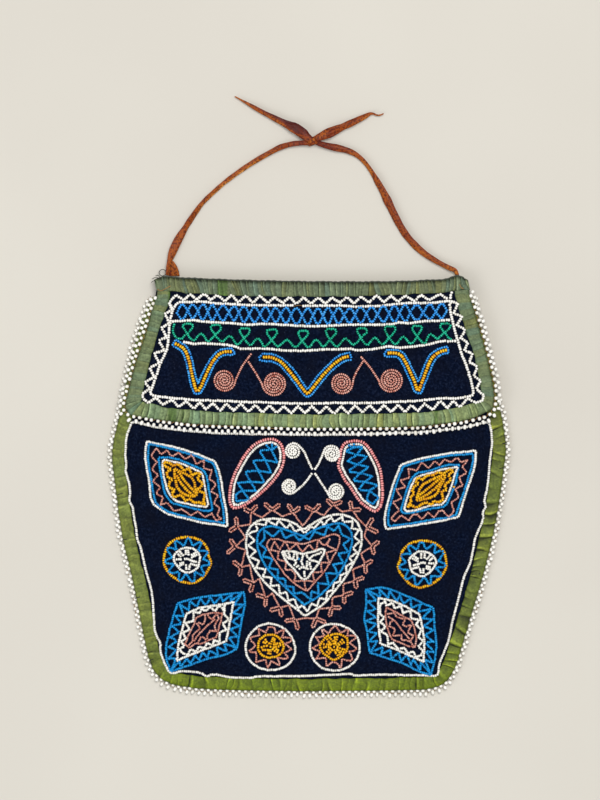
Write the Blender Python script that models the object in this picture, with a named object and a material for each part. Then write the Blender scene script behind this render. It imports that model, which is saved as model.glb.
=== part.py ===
"""A beaded cloth pouch with a flap, ribbon bindings and a knotted ribbon strap.

It runs in Blender 4.5 as it is, with no other file. Lengths are in metres and +Z is up.
The pouch lies on its back: x runs across it, and y runs up from its foot to the flap's fold.
Outlines are measured in the photograph's pixels (600 x 800) and turned into real lengths by at().
"""
import math

import bmesh
import bpy
from mathutils import Vector
from mathutils.bvhtree import BVHTree

MM = 0.001

# The pouch's real size, and what it measures in the photograph
POUCH_WIDTH = 181.0 * MM
POUCH_HEIGHT = 190.0 * MM
WIDTH_PX = 403.0
HEIGHT_PX = 422.0
CENTRE_PX = (308.9, 486.0)

# Cloth, ribbon and the clearances between the layers
CLOTH = 1.2 * MM
RIBBON = 0.5 * MM
LAYER_GAP = 0.3 * MM
DRAPE_GAP = 1.8 * MM
CAVITY = 4.3 * MM
RIBBON_WIDTH = 5.3 * MM
PANEL_INSET = 1.35 * MM
PLEAT_HEIGHT = 0.22 * MM
HEM_EASE = 0.6 * MM
EDGE_RISE = 7.5 * MM
BACK_RISE = 4.0 * MM
MOUTH_DEPTH = 21.0 * MM
FLAP_HEM_RISE = 10.0 * MM

# Rows of seed beads: the step between two rows side by side, and the free strip between them
ROW_STEP = 1.2 * MM
ROW_GAP = 0.36 * MM
ROW_HEIGHT = 0.85 * MM
PICOT_REACH = 1.25 * MM
STRAP_DIAMETER = 2.2 * MM

ROW_WIDTH = ROW_STEP - ROW_GAP
CLEAR = RIBBON + LAYER_GAP
FLAT_EDGE = RIBBON_WIDTH + CLEAR

# Levels, from the table up: ribbon, back panel, front panel and flap
BACK_LEVEL = CLEAR
FRONT_EDGE_LEVEL = BACK_LEVEL + CLOTH + LAYER_GAP
FRONT_LEVEL = CLOTH + CAVITY
FLAP_LEVEL = FRONT_LEVEL + 0.8 * MM

COLOURS = {
    "wool": (0.012, 0.018, 0.040),
    "olive": (0.155, 0.230, 0.030),
    "sage": (0.170, 0.235, 0.115),
    "rust": (0.360, 0.090, 0.018),
    "white": (0.870, 0.850, 0.780),
    "yellow": (0.900, 0.420, 0.010),
    "royal": (0.025, 0.220, 0.700),
    "cerulean": (0.005, 0.300, 0.720),
    "green": (0.010, 0.340, 0.170),
    "rose": (0.560, 0.240, 0.180),
    "coral": (0.860, 0.260, 0.250),
}

# The body's edge, from the left of the mouth round the foot to the right of the mouth
BODY_EDGE_PX = [
    (152, 297), (145, 312), (136, 338), (129, 365), (122, 400), (117, 423), (112.5, 443),
    (111.5, 460), (113.5, 477), (118, 513), (123, 543), (132, 580), (143, 635), (148, 657),
    (155, 673), (168, 683), (188, 687.5), (220, 690), (300, 691.5), (407, 690.5), (430, 689),
    (445, 683), (455, 669), (463, 645), (470.5, 620), (486.5, 566), (498, 513), (505, 465),
    (506.5, 447), (503.5, 422), (498.5, 400), (490.5, 360), (481, 325), (474, 299),
]
LEFT_FOOT_PX = (155, 673)
RIGHT_FOOT_PX = (445, 683)
TOP_EDGE_PX = [
    (154, 280), (163, 276.5), (180, 277.5), (200, 278.5), (240, 280), (310, 281.5),
    (390, 281.5), (430, 280), (446, 279), (458, 275.5), (468, 280),
]
FLAP_LEFT_PX = [(156, 299), (152, 310), (146, 333), (136, 362), (129, 388), (125.5, 405)]
FLAP_FOOT_PX = [
    (129, 415), (150, 418.5), (190, 423.5), (230, 425.5), (310, 428), (400, 427), (440, 424),
    (470, 419),
]
FLAP_RIGHT_PX = [(493, 409), (493.5, 390), (487, 358), (479, 328), (470.5, 300)]
HEM_LEFT_PX = [(169.5, 300), (161, 325), (150, 362), (144, 388)]
HEM_FOOT_PX = [
    (141.5, 401), (170, 407.5), (200, 410.5), (240, 412.5), (310, 414), (400, 413), (440, 410),
    (465, 405.5),
]
HEM_RIGHT_PX = [(482.5, 399), (475, 360), (465, 330), (456, 301)]
HEM_WIDTH_PX = 13.6

# Flap embroidery
FRAME_TOP_PX = [(178, 303), (200, 302), (240, 304.5), (300, 306), (350, 306), (400, 303.5), (432, 303)]
FRAME_RIGHT_PX = [(451, 302), (452, 318), (459, 345), (466, 366)]
FRAME_FOOT_PX = [(473, 394), (440, 398.5), (400, 402), (300, 403.5), (230, 401), (180, 398)]
FRAME_LEFT_PX = [(151, 394), (157, 373.5), (167, 346), (171, 322)]
RIM_TOP_PX = [(168, 295), (200, 293.5), (240, 294.5), (300, 296.5), (350, 296.5), (400, 294), (440, 293)]
RIM_RIGHT_PX = [(457, 293), (458.5, 312), (466, 340), (476, 370)]
RIM_FOOT_PX = [(481, 400.5), (440, 408.5), (400, 412), (300, 413.5), (230, 411), (180, 407.5)]
RIM_LEFT_PX = [(140, 402.5), (148, 372), (158, 340), (163, 318)]
SECOND_LINE_PX = [(172, 320.5), (190, 321), (230, 323.5), (300, 325.5), (350, 325.5), (410, 322), (452, 320.5)]
THIRD_LINE_PX = [(186, 342.5), (210, 344.5), (250, 348), (300, 350), (350, 348.8), (400, 347.3), (430, 343.5), (457, 341)]
LOOP_CROSSINGS_PX = [
    (187, 334.5), (215, 335.5), (244, 338.5), (271.5, 340), (302, 340), (330.5, 340), (360.5, 339),
    (389, 337.5), (418, 335.5), (443.5, 333),
]
CHEVRONS_PX = [
    [(174, 343.5), (182, 347.5), (187, 357), (193, 376), (198, 391.5), (206, 374), (213, 362),
     (221, 354.5), (230, 353)],
    [(263, 357.5), (272, 358), (281, 362.5), (294, 376), (307.5, 393.5), (321, 379), (334, 364),
     (342, 358.5), (349, 356.5)],
    [(387, 353.5), (399, 355), (405, 362), (411, 376), (418, 390.5), (424, 376), (430, 362),
     (436, 354.5), (444, 350)],
]
SCROLL_DISCS_PX = [
    ((224.4, 380.5), 10.3, (274.2, 383.8), 11.4, (250.5, 355.5), (247.5, 361.0)),
    ((341.5, 383.5), 9.8, (391.0, 380.2), 11.2, (360.8, 357.0), (362.5, 362.0)),
]

# Body embroidery: outlines are lists of sides, each starting at a corner
BORDER_INSET = 1.0 * MM
BORDER_TOP_PX = [
    (140, 424), (147, 425.5), (154, 427), (170, 428.5), (222, 433), (310, 434), (400, 433),
    (450, 429), (463, 427), (472, 425.5), (480, 424),
]
UPPER_LEFT_OUTER_PX = [
    [(147, 441), (175, 447), (200, 455)], [(215, 461.5), (221, 480), (224, 500)],
    [(227.5, 525), (200, 522), (170, 514.5)], [(154, 505), (149, 480), (146, 455)],
]
UPPER_LEFT_INNER_PX = [
    [(158, 455.5), (175, 458.5), (192, 465)], [(206, 471), (209, 493)],
    [(213.5, 511), (190, 507.5)], [(169, 499.5), (163, 485), (159, 468)],
]
UPPER_RIGHT_OUTER_PX = [
    [(401, 465), (425, 458.4), (452, 454)], [(475, 451.5), (473, 470), (466, 495)],
    [(458, 516), (439, 520), (416, 524)], [(387, 528), (387, 509), (393, 488)],
]
UPPER_RIGHT_INNER_PX = [
    [(412.5, 473.5), (430, 468.5), (447, 464.8)], [(460, 464.5), (456, 485)],
    [(447, 506), (425, 510)], [(401, 513.5), (404.5, 493)],
]
LOWER_LEFT_OUTER_PX = [
    [(179, 602.5), (203, 596.5), (222, 594)], [(244.5, 593), (243, 610), (239, 632)],
    [(236, 648.5), (210, 657), (190, 664)], [(173, 666), (168.5, 650), (171.5, 625)],
]
LOWER_LEFT_MIDDLE_PX = [
    [(187, 613), (210, 605.5)], [(234, 602), (230, 622)], [(226, 641), (205, 650)],
    [(177, 659), (180, 635)],
]
LOWER_LEFT_INNER_PX = [[(196, 614.5)], [(222, 611.5)], [(217.5, 636)], [(186, 647)]]
LOWER_RIGHT_OUTER_PX = [
    [(367, 588), (382, 588), (400, 593), (417, 600)], [(433, 608), (436, 630), (436, 650)],
    [(428.5, 668.5), (407, 663), (389, 656.5)], [(370.5, 651.5), (367, 632), (366, 610)],
]
LOWER_RIGHT_MIDDLE_PX = [
    [(379, 598), (400, 603.5)], [(419, 614), (424.5, 640)], [(423.5, 661), (400, 650.5)],
    [(381.5, 643), (378, 620)],
]
LOWER_RIGHT_INNER_PX = [[(386.5, 607.5)], [(412, 620.5), (416.5, 634)], [(413, 648)], [(389, 634)]]
SIDE_ROSETTES_PX = {"left": ((187, 560), 23.0, 23.0, 13.6), "right": ((422.8, 563.6), 24.2, 23.6, 13.6)}
FOOT_ROSETTES_PX = {"left": ((269.5, 646.5), 25.0, 22.8, 14.0), "right": ((334, 647), 25.0, 22.8, 14.2)}
LEFT_LEAF_RIM_PX = [
    [(232.5, 506), (230.5, 490), (236, 473), (247, 454), (260, 442.5)],
    [(277.5, 441), (282.5, 455), (277, 473), (265, 488), (248, 501)],
]
LEFT_LEAF_CORE_PX = [
    [(238, 500), (238.5, 484), (245, 468), (255, 453.5), (265, 446)],
    [(275.5, 446), (278, 457), (273, 470), (262, 484), (250, 495)],
]
RIGHT_LEAF_RIM_PX = [
    [(344, 443), (341.5, 463), (348, 481), (358, 496)],
    [(377, 509.5), (381, 488), (375, 460), (362, 444)],
]
RIGHT_LEAF_CORE_PX = [
    [(348, 448.5), (347, 463), (352, 478), (361, 491)],
    [(374, 503), (375.5, 487), (369, 461), (359, 448.5)],
]
CROSS_CENTRE_PX = (313.5, 471.5)
CROSS_ARMS_PX = [
    ((293, 451), 7.6, -20, 1, [(305, 455), (309.5, 464.5)]),
    ((290, 486), 7.6, 25, -1, [(303.5, 483.5), (309, 477)]),
    ((332, 454), 7.9, 215, -1, [(321.5, 459), (317.5, 466)]),
    ((336, 491), 7.6, 140, 1, [(324.5, 487), (318.5, 478.5)]),
]
HEART_OUTER_PX = [
    [(303, 529), (290, 521.5), (275, 518), (259, 520.5), (249.5, 529), (246.5, 541), (250, 558),
     (262, 578), (280, 595)],
    [(305, 614.5), (325, 602), (340, 584), (353, 563), (360, 549), (361.5, 535), (355, 521),
     (342, 514.5), (325, 517.5)],
]
HEART_MIDDLE_PX = [
    [(303, 536.5), (290, 531.5), (273, 527.5), (261, 532), (258, 543), (262, 557), (274, 576)],
    [(304.5, 604), (323, 592), (338, 574), (347, 556), (351, 541), (348, 529), (337, 523.5),
     (321, 528.5)],
]
HEART_INNER_PX = [
    [(302.5, 545.5), (288, 541.5), (271, 539), (269, 546), (277, 560), (290, 576.5)],
    [(305, 590.5), (320, 577.5), (332, 561), (340, 545), (339, 535.5), (320, 539.5)],
]
HEART_CORE_PX = [
    [(301, 555), (284, 552.5), (290, 563), (296, 572)],
    [(303, 578), (312, 566), (324, 549), (313, 551.5)],
]
SPRIG_APEXES_PX = [
    (251, 512), (272, 510), (293, 512), (314, 511), (333, 505), (352, 510), (367, 527), (372, 546),
    (365, 564), (355, 580), (344, 595), (332, 607), (316, 618), (295, 619), (280, 607), (266, 597),
    (253, 583), (241, 567), (235, 546), (237, 526),
]
SPRIG_FEET_PX = [
    (262, 515.5), (282, 515.5), (303, 523.5), (324, 514), (341, 511), (358.5, 518.5), (365, 536),
    (363, 553), (354.5, 569), (345.5, 585), (334.5, 598), (320, 609.5), (305, 618.5), (288, 607),
    (271.5, 594), (258, 579.5), (248.5, 565.5), (243.3, 551), (243.5, 537), (248, 523),
]
SPRIG_PETALS_PX = [
    ((244, 508), (257, 505)), ((265, 503), (280, 504)), ((288, 504), (300, 507)),
    ((306, 506), (320, 504)), ((327, 499), (342, 501)), ((350, 501), (361, 509)),
    ((373, 518), (378, 532)), ((379, 541), (374, 554)), ((373, 560), (366, 573)),
    ((364, 577), (357, 588)), ((353, 592), (345, 603)), ((341, 608), (330, 616)),
    ((326, 622), (313, 627)), ((285, 621), (298, 629)), ((270, 610), (281, 616)),
    ((256, 594), (265, 606)), ((243, 579), (250, 592)), ((233, 561), (240, 576)),
    ((230, 539), (227, 553)), ((236, 517), (229, 531)),
]

# The strap's route, chosen by hand: pixel place and height above the table
STRAP_LEFT_PX = [
    (167, 275.5, 3.4), (168.2, 264, 2.6), (172.5, 250, 1.5), (179, 237.5, 1.2), (189.7, 220, 1.2),
    (204, 201, 1.2), (221, 185, 1.2), (245, 167.5, 1.2), (270, 152, 1.4), (291, 143.5, 1.9),
    (302.1, 143.2, 2.1),
]
STRAP_RIGHT_PX = [
    (456.8, 273.6, 3.4), (455.6, 270.6, 3.1), (451, 268, 2.6), (434.5, 261, 1.6), (418, 249, 1.2), (402, 227, 1.2),
    (387, 201, 1.2), (374, 175, 1.2), (363, 160, 1.2), (349, 150.5, 1.3), (335, 146.5, 1.7),
    (323.2, 144.7, 2.0),
]
TAIL_LEFT_PX = [(303.9, 135.9, 2.4), (292, 128, 1.8), (280, 121.5, 1.3), (258, 109.5, 1.0), (237, 98, 0.9)]
TAIL_RIGHT_PX = [(322.3, 137.4, 2.4), (336, 129, 1.8), (350, 122.5, 1.3), (364, 116.5, 1.0), (377, 115.2, 0.9)]
KNOT_PX = (312.7, 141.0)
KNOT_RADII = (4.4 * MM, 3.1 * MM, 2.3 * MM)
BOW_PX = [(170.5, 275.8), (169, 266), (172.5, 261.5), (177, 265.5), (179.5, 275.8)]
BOW_LEVEL = 0.7 * MM

# How many teeth or segments each row gets here
FRAME_TEETH = (20, 7, 23, 7)
LATTICE_CELLS = 25
EDGING_TEETH = {"body": 62, "flap": (11, 22, 11)}
PLEAT_STEP = 9.0 * MM
PLEAT_TURN = 0.3


def at(points):
    """Turns pixel places in the photograph into places on the pouch."""
    scale_x = POUCH_WIDTH / WIDTH_PX
    scale_y = POUCH_HEIGHT / HEIGHT_PX
    return [Vector(((x - CENTRE_PX[0]) * scale_x, (CENTRE_PX[1] - y) * scale_y)) for x, y in points]


class Curve:
    """A smooth open curve through points, read by the share of its length."""

    def __init__(self, points, steps=6):
        ends = [2 * points[0] - points[1]] + list(points) + [2 * points[-1] - points[-2]]
        self.points = []
        for a, b, c, d in zip(ends, ends[1:], ends[2:], ends[3:]):
            for step in range(steps):
                t = step / steps
                bend = (2 * a - 5 * b + 4 * c - d) * t * t + (3 * b - a - 3 * c + d) * t ** 3
                self.points.append(0.5 * (2 * b + (c - a) * t + bend))
        self.points.append(points[-1])
        self.reach = [0.0]
        for a, b in zip(self.points, self.points[1:]):
            self.reach.append(self.reach[-1] + (b - a).length)
        self.length = self.reach[-1]

    def at(self, share):
        goal = share * self.length
        for i in range(1, len(self.reach) - 1):
            if self.reach[i] > goal:
                break
        else:
            i = len(self.reach) - 1
        span = self.reach[i] - self.reach[i - 1]
        return self.points[i - 1].lerp(self.points[i], (goal - self.reach[i - 1]) / span)

    def cut(self, count, first=0.0, last=1.0):
        return [self.at(first + (last - first) * i / count) for i in range(count + 1)]

    def walk(self, step, turn):
        """Shares along the curve, closer together where it bends."""
        shares = [0.0]
        last = self.left_normal(0.0)
        for i in range(1, 400):
            share = i / 400
            normal = self.left_normal(share)
            if (share - shares[-1]) * self.length > step or normal.angle(last) > turn:
                shares.append(share)
                last = normal
        return shares + [1.0]

    def left_normal(self, share):
        along = self.at(min(share + 0.004, 1.0)) - self.at(max(share - 0.004, 0.0))
        return Vector((-along.y, along.x)).normalized()

    def share_near(self, place):
        nearest = min(range(len(self.points)), key=lambda i: (self.points[i] - place).length)
        return self.reach[nearest] / self.length


class Outline:
    """A closed outline made of smooth sides that meet at corners."""

    def __init__(self, sides_px):
        sides = [at(side) for side in sides_px]
        self.sides = [Curve(side + [sides[(i + 1) % len(sides)][0]]) for i, side in enumerate(sides)]

    def at(self, side, share):
        return self.sides[side].at(share)


def share_of(outer, inner, distance):
    """The share of the way from one outline to another that a distance is."""
    widths = []
    for side in range(len(outer.sides)):
        for share in (0.3, 0.5, 0.7):
            widths.append((outer.at(side, share) - inner.at(side, share)).length)
    return distance / (sum(widths) / len(widths))


def between(outer, inner, side, share, depth):
    return outer.at(side, share).lerp(inner.at(side, share), depth)


def ring(outer, inner, depth, counts):
    """A closed row that follows an outline, at a depth towards the inner one."""
    return [
        between(outer, inner, side, step / count, depth)
        for side, count in enumerate(counts) for step in range(count)
    ]


def zigzag(outer, inner, from_depth, to_depth, counts):
    """A closed zigzag row between two depths, with its first points at the outline's corners."""
    points = []
    for side, count in enumerate(counts):
        for step in range(count):
            points.append(between(outer, inner, side, step / count, from_depth))
            points.append(between(outer, inner, side, (step + 0.5) / count, to_depth))
    return points


def ellipse(centre, radius_x, radius_y, count, start=0.0):
    turns = [2 * math.pi * (i + start) / count for i in range(count)]
    return [centre + Vector((radius_x * math.cos(a), radius_y * math.sin(a))) for a in turns]


def spiral(centre, radius, turns, start_degrees, sense, per_turn):
    """A row wound inwards, one row step a turn, from its outer end."""
    points = []
    for i in range(int(turns * per_turn) + 1):
        angle = math.radians(start_degrees) + sense * 2 * math.pi * i / per_turn
        reach = radius - ROW_STEP * i / per_turn
        points.append(centre + reach * Vector((math.cos(angle), math.sin(angle))))
    return points


BODY_EDGE = Curve(at(BODY_EDGE_PX))
TOP_EDGE = Curve(at(TOP_EDGE_PX))
FLAP_FOOT = Curve(at(FLAP_FOOT_PX + FLAP_RIGHT_PX[:1]))
PX = POUCH_WIDTH / WIDTH_PX


def distance_to(curve, place):
    best = 1.0
    for a, b in zip(curve.points, curve.points[1:]):
        along = b - a
        share = max(0.0, min(1.0, (place - a).dot(along) / along.length_squared))
        best = min(best, (place - a - share * along).length)
    return best


def ease(value):
    value = max(0.0, min(1.0, value))
    return value * value * (3 - 2 * value)


def front_bottom(place):
    """The front panel's lower face: flat at the edge, raised over the pouch's hollow."""
    rise = ease((distance_to(BODY_EDGE, place) - FLAT_EDGE) / EDGE_RISE)
    return FRONT_EDGE_LEVEL + (FRONT_LEVEL - FRONT_EDGE_LEVEL) * rise


def back_bottom(place):
    """The back panel's lower face: on the table, and over the ribbon at its edges."""
    near = min(distance_to(BODY_EDGE, place), distance_to(TOP_EDGE, place))
    return BACK_LEVEL * (1 - max(0.0, min(1.0, (near - FLAT_EDGE) / BACK_RISE)))


def flap_bottom(place):
    """The flap's lower face: it drapes over the front panel and lifts over its own hem."""
    over_front = front_bottom(place) + CLOTH + DRAPE_GAP - FLAP_LEVEL
    drape = max(0.0, over_front) * ease(distance_to(TOP_EDGE, place) / MOUTH_DEPTH)
    hem = 1 - ease((distance_to(FLAP_FOOT, place) - FLAT_EDGE) / FLAP_HEM_RISE)
    return FLAP_LEVEL + drape + CLEAR * hem


def material(name, roughness):
    colour = COLOURS[name]
    finish = bpy.data.materials.new(name)
    finish.use_nodes = True
    shader = finish.node_tree.nodes["Principled BSDF"]
    shader.inputs["Base Color"].default_value = (*colour, 1.0)
    shader.inputs["Roughness"].default_value = roughness
    shader.inputs["Metallic"].default_value = 0.0
    return finish


def add_object(name, bm, colour, roughness):
    """Closes a mesh, turns its faces outwards, splits them and adds it with a material of its own."""
    bmesh.ops.remove_doubles(bm, verts=bm.verts, dist=1e-6)
    bmesh.ops.recalc_face_normals(bm, faces=bm.faces)
    bmesh.ops.triangulate(bm, faces=bm.faces)
    mesh = bpy.data.meshes.new(name)
    bm.to_mesh(mesh)
    bm.free()
    piece = bpy.data.objects.new(name, mesh)
    piece.data.materials.append(material(colour, roughness))
    bpy.context.collection.objects.link(piece)
    return piece


def patch(left, right, top, bottom, across, down):
    """A grid of places inside four curves that meet at their ends."""
    grid = []
    for v in down:
        row = []
        for u in across:
            sides = left.at(v).lerp(right.at(v), u)
            ends = top.at(u).lerp(bottom.at(u), v)
            corners = top.at(0).lerp(top.at(1), u).lerp(bottom.at(0).lerp(bottom.at(1), u), v)
            row.append(sides + ends - corners)
        grid.append(row)
    return grid


def cloth(name, grid, level, colour="wool"):
    """A panel of cloth of one thickness over a grid, with its lower face at level(place)."""
    bm = bmesh.new()
    low = [[bm.verts.new((*place, level(place))) for place in row] for row in grid]
    high = [[bm.verts.new((*place, level(place) + CLOTH)) for place in row] for row in grid]
    rows = len(grid)
    columns = len(grid[0])
    for r in range(rows - 1):
        for c in range(columns - 1):
            bm.faces.new((high[r][c], high[r + 1][c], high[r + 1][c + 1], high[r][c + 1]))
            bm.faces.new((low[r][c], low[r][c + 1], low[r + 1][c + 1], low[r + 1][c]))
    rim = [(0, c) for c in range(columns)] + [(r, columns - 1) for r in range(1, rows)]
    rim += [(rows - 1, c) for c in range(columns - 2, -1, -1)] + [(r, 0) for r in range(rows - 2, 0, -1)]
    for (r, c), (s, d) in zip(rim, rim[1:] + rim[:1]):
        bm.faces.new((low[r][c], high[r][c], high[s][d], low[s][d]))
    return add_object(name, bm, colour, 0.95)


def binding(name, outer, inner, low, high, colour):
    """A gathered ribbon folded over an edge: a C section between outer and inner places."""
    bm = bmesh.new()
    sections = []
    for i, (edge, hem) in enumerate(zip(outer, inner)):
        pleat = PLEAT_HEIGHT * (i % 2)
        inwards = (hem - edge).normalized()
        wall = edge + inwards * RIBBON
        lip = hem + inwards * pleat
        profile = [
            (edge, low(edge)), (edge, high(edge)), (lip, high(hem) + pleat),
            (lip, high(hem) + pleat - RIBBON), (wall, high(edge) - RIBBON), (wall, low(edge) + RIBBON),
            (lip, low(hem) + RIBBON), (lip, low(hem)),
        ]
        sections.append([bm.verts.new((*place, height)) for place, height in profile])
    for first, second in zip(sections, sections[1:]):
        for i in range(len(first)):
            j = (i + 1) % len(first)
            bm.faces.new((first[i], first[j], second[j], second[i]))
    for end in (sections[0], sections[-1]):
        bm.faces.new((end[0], end[1], end[4], end[5]))
        bm.faces.new((end[1], end[2], end[3], end[4]))
        bm.faces.new((end[5], end[6], end[7], end[0]))
    return add_object(name, bm, colour, 0.45)


def resting_on(piece):
    """A function that gives the level just above a panel, at any place on it."""
    points = [vertex.co.copy() for vertex in piece.data.vertices]
    tree = BVHTree.FromPolygons(points, [list(face.vertices) for face in piece.data.polygons])
    reach = 1.6 * MM
    probes = [Vector((x, y)) for x in (-reach, 0, reach) for y in (-reach, 0, reach)]

    def level(place):
        heights = []
        for probe in probes:
            spot = place + probe
            hit = tree.ray_cast(Vector((spot.x, spot.y, 1.0)), Vector((0, 0, -1)))[0]
            if hit is not None:
                heights.append(hit.z)
        return max(heights) + LAYER_GAP

    return level


def row_corner(place, first, second, spread):
    """Where the edges of two rows meet, between one spoke and the next one counter-clockwise."""
    along, half = first
    other, other_half = second
    left = Vector((-along.y, along.x)) * half
    right = Vector((other.y, -other.x)) * other_half
    cross = along.x * other.y - along.y * other.x
    if abs(cross) < 0.05:
        return place + (left if spread > 2.5 else left - along * half)
    gap = right - left
    move = (gap.x * other.y - gap.y * other.x) / cross
    corner = left + along * move
    limit = 1.35 * max(half, other_half)
    if spread > math.pi and corner.length > limit:
        corner = corner.normalized() * limit
    return place + corner


def bead_rows(name, rows, level, colour, height=ROW_HEIGHT):
    """Rows of beads as low ridges, joined wherever their points meet, in one closed solid.

    Each row is (points, closed, width).
    """
    places = []
    spokes = {}

    def index_of(point):
        for i, place in enumerate(places):
            if (place - point).length < 0.25 * MM:
                return i
        places.append(point.copy())
        return len(places) - 1

    for points, closed, width in rows:
        stops = [index_of(point) for point in points]
        pairs = list(zip(stops, stops[1:]))
        if closed:
            pairs.append((stops[-1], stops[0]))
        for a, b in pairs:
            if a != b:
                spokes.setdefault(a, {})[b] = width / 2
                spokes.setdefault(b, {})[a] = width / 2

    bm = bmesh.new()
    tops = {}
    left = {}
    right = {}
    for i, place in enumerate(places):
        tops[i] = bm.verts.new((*place, level(place) + height))
        around = []
        for j, half in spokes[i].items():
            along = (places[j] - place).normalized()
            around.append((math.atan2(along.y, along.x), j, along, half))
        around.sort(key=lambda spoke: spoke[0])
        if len(around) == 1:
            _, j, along, half = around[0]
            side = Vector((-along.y, along.x)) * half
            for spot, table in ((place - along * half + side, left), (place - along * half - side, right)):
                table[i, j] = bm.verts.new((*spot, level(spot)))
            bm.faces.new((tops[i], left[i, j], right[i, j]))
            continue
        for first, second in zip(around, around[1:] + around[:1]):
            spread = (second[0] - first[0]) % (2 * math.pi)
            spot = row_corner(place, first[2:], second[2:], spread)
            corner = bm.verts.new((*spot, level(spot)))
            left[i, first[1]] = corner
            right[i, second[1]] = corner
        if len(around) > 2:
            bm.faces.new([left[i, spoke[1]] for spoke in reversed(around)])
    for i in spokes:
        for j in spokes[i]:
            if i < j:
                bm.faces.new((tops[i], tops[j], right[j, i], left[i, j]))
                bm.faces.new((tops[j], tops[i], right[i, j], left[j, i]))
                bm.faces.new((left[i, j], right[j, i], left[j, i], right[i, j]))
    return add_object(name, bm, colour, 0.25)


def single(points, closed=True):
    return (points, closed, ROW_WIDTH)


def make_panels():
    """The back, the front and the flap, each as one panel of wool cloth."""
    inset = PANEL_INSET
    edge = Curve([BODY_EDGE.at(i / 90) + BODY_EDGE.left_normal(i / 90) * inset for i in range(91)], 1)
    first = edge.share_near(at([LEFT_FOOT_PX])[0])
    last = edge.share_near(at([RIGHT_FOOT_PX])[0])
    foot = Curve(edge.cut(30, first, last), 1)
    top = Curve([place + Vector((0, -inset)) for place in TOP_EDGE.cut(24, 0.012, 0.988)], 1)
    across = [0, 0.028, 0.04, 0.055, 0.071, 0.3, 0.5, 0.7, 0.929, 0.945, 0.96, 0.972, 1]

    left = Curve([top.at(0)] + edge.cut(20, 0, first), 1)
    right = Curve([top.at(1)] + list(reversed(edge.cut(20, last, 1))), 1)
    down = [0, 0.03, 0.055, 0.2, 0.4, 0.6, 0.8, 0.945, 0.97, 1]
    back = cloth("back_panel", patch(left, right, top, foot, across, down), back_bottom)

    mouth_level = TOP_EDGE.at(0.5).y - MOUTH_DEPTH
    share = 0.0
    while edge.at(share).y > mouth_level:
        share += 0.002
    left = Curve(edge.cut(20, share, first), 1)
    share = 1.0
    while edge.at(share).y > mouth_level:
        share -= 0.002
    right = Curve(list(reversed(edge.cut(20, last, share))), 1)
    mouth = Curve([left.at(0), right.at(0)], 1)
    down = [0, 0.25, 0.5, 0.75, 0.923, 0.94, 0.956, 0.97, 1]
    front = cloth("front_panel", patch(left, right, mouth, foot, across, down), front_bottom)

    hem = flap_edge(PANEL_INSET)
    left = Curve([top.at(0)] + hem[0].cut(10), 1)
    right = Curve([top.at(1)] + list(reversed(hem[2].cut(10))), 1)
    down = [0, 0.12, 0.24, 0.36, 0.58, 0.72, 0.8, 0.88, 0.94, 1]
    flap = cloth("flap_panel", patch(left, right, top, hem[1], across, down), flap_bottom)
    return back, front, flap


def flap_edge(inset=0.0):
    """The flap's left, foot and right edges, moved inwards by an inset towards its hem's edge."""
    outer = [at(FLAP_LEFT_PX + FLAP_FOOT_PX[:1]), at(FLAP_FOOT_PX + FLAP_RIGHT_PX[:1]), at(FLAP_RIGHT_PX)]
    inner = [at(HEM_LEFT_PX + HEM_FOOT_PX[:1]), at(HEM_FOOT_PX + HEM_RIGHT_PX[:1]), at(HEM_RIGHT_PX)]
    depth = inset / (HEM_WIDTH_PX * PX)
    edges = []
    for edge, hem in zip(outer, inner):
        edge = Curve(edge)
        hem = Curve(hem)
        edges.append(Curve([edge.at(i / 16).lerp(hem.at(i / 16), depth) for i in range(17)], 1))
    return edges


def make_bindings():
    """The gathered ribbons round the body, round the flap and along the top."""
    shares = BODY_EDGE.walk(PLEAT_STEP, PLEAT_TURN)
    outer = [BODY_EDGE.at(share) for share in shares]
    inner = [BODY_EDGE.at(share) + BODY_EDGE.left_normal(share) * RIBBON_WIDTH for share in shares]
    top_of_body = FRONT_EDGE_LEVEL + CLOTH + CLEAR
    binding("body_binding", outer, inner, lambda place: 0.0, lambda place: top_of_body, "olive")

    outer = []
    inner = []
    for edge, hem in zip(flap_edge(), flap_edge(RIBBON_WIDTH)):
        count = round(edge.length / PLEAT_STEP * 1.6)
        outer += edge.cut(count)[:-1]
        inner += hem.cut(count)[:-1]
    outer.append(edge.at(1))
    inner.append(hem.at(1))
    binding(
        "flap_binding", outer, inner, lambda place: flap_bottom(place) - CLEAR - HEM_EASE,
        lambda place: flap_bottom(place) + CLOTH + CLEAR + HEM_EASE, "sage",
    )

    outer = [TOP_EDGE.at(share) for share in TOP_EDGE.walk(PLEAT_STEP * 0.8, PLEAT_TURN)]
    inner = [place + Vector((0, -RIBBON_WIDTH)) for place in outer]
    binding(
        "top_binding", outer, inner, lambda place: 0.0,
        lambda place: flap_bottom(place) + CLOTH + CLEAR, "sage",
    )


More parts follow.
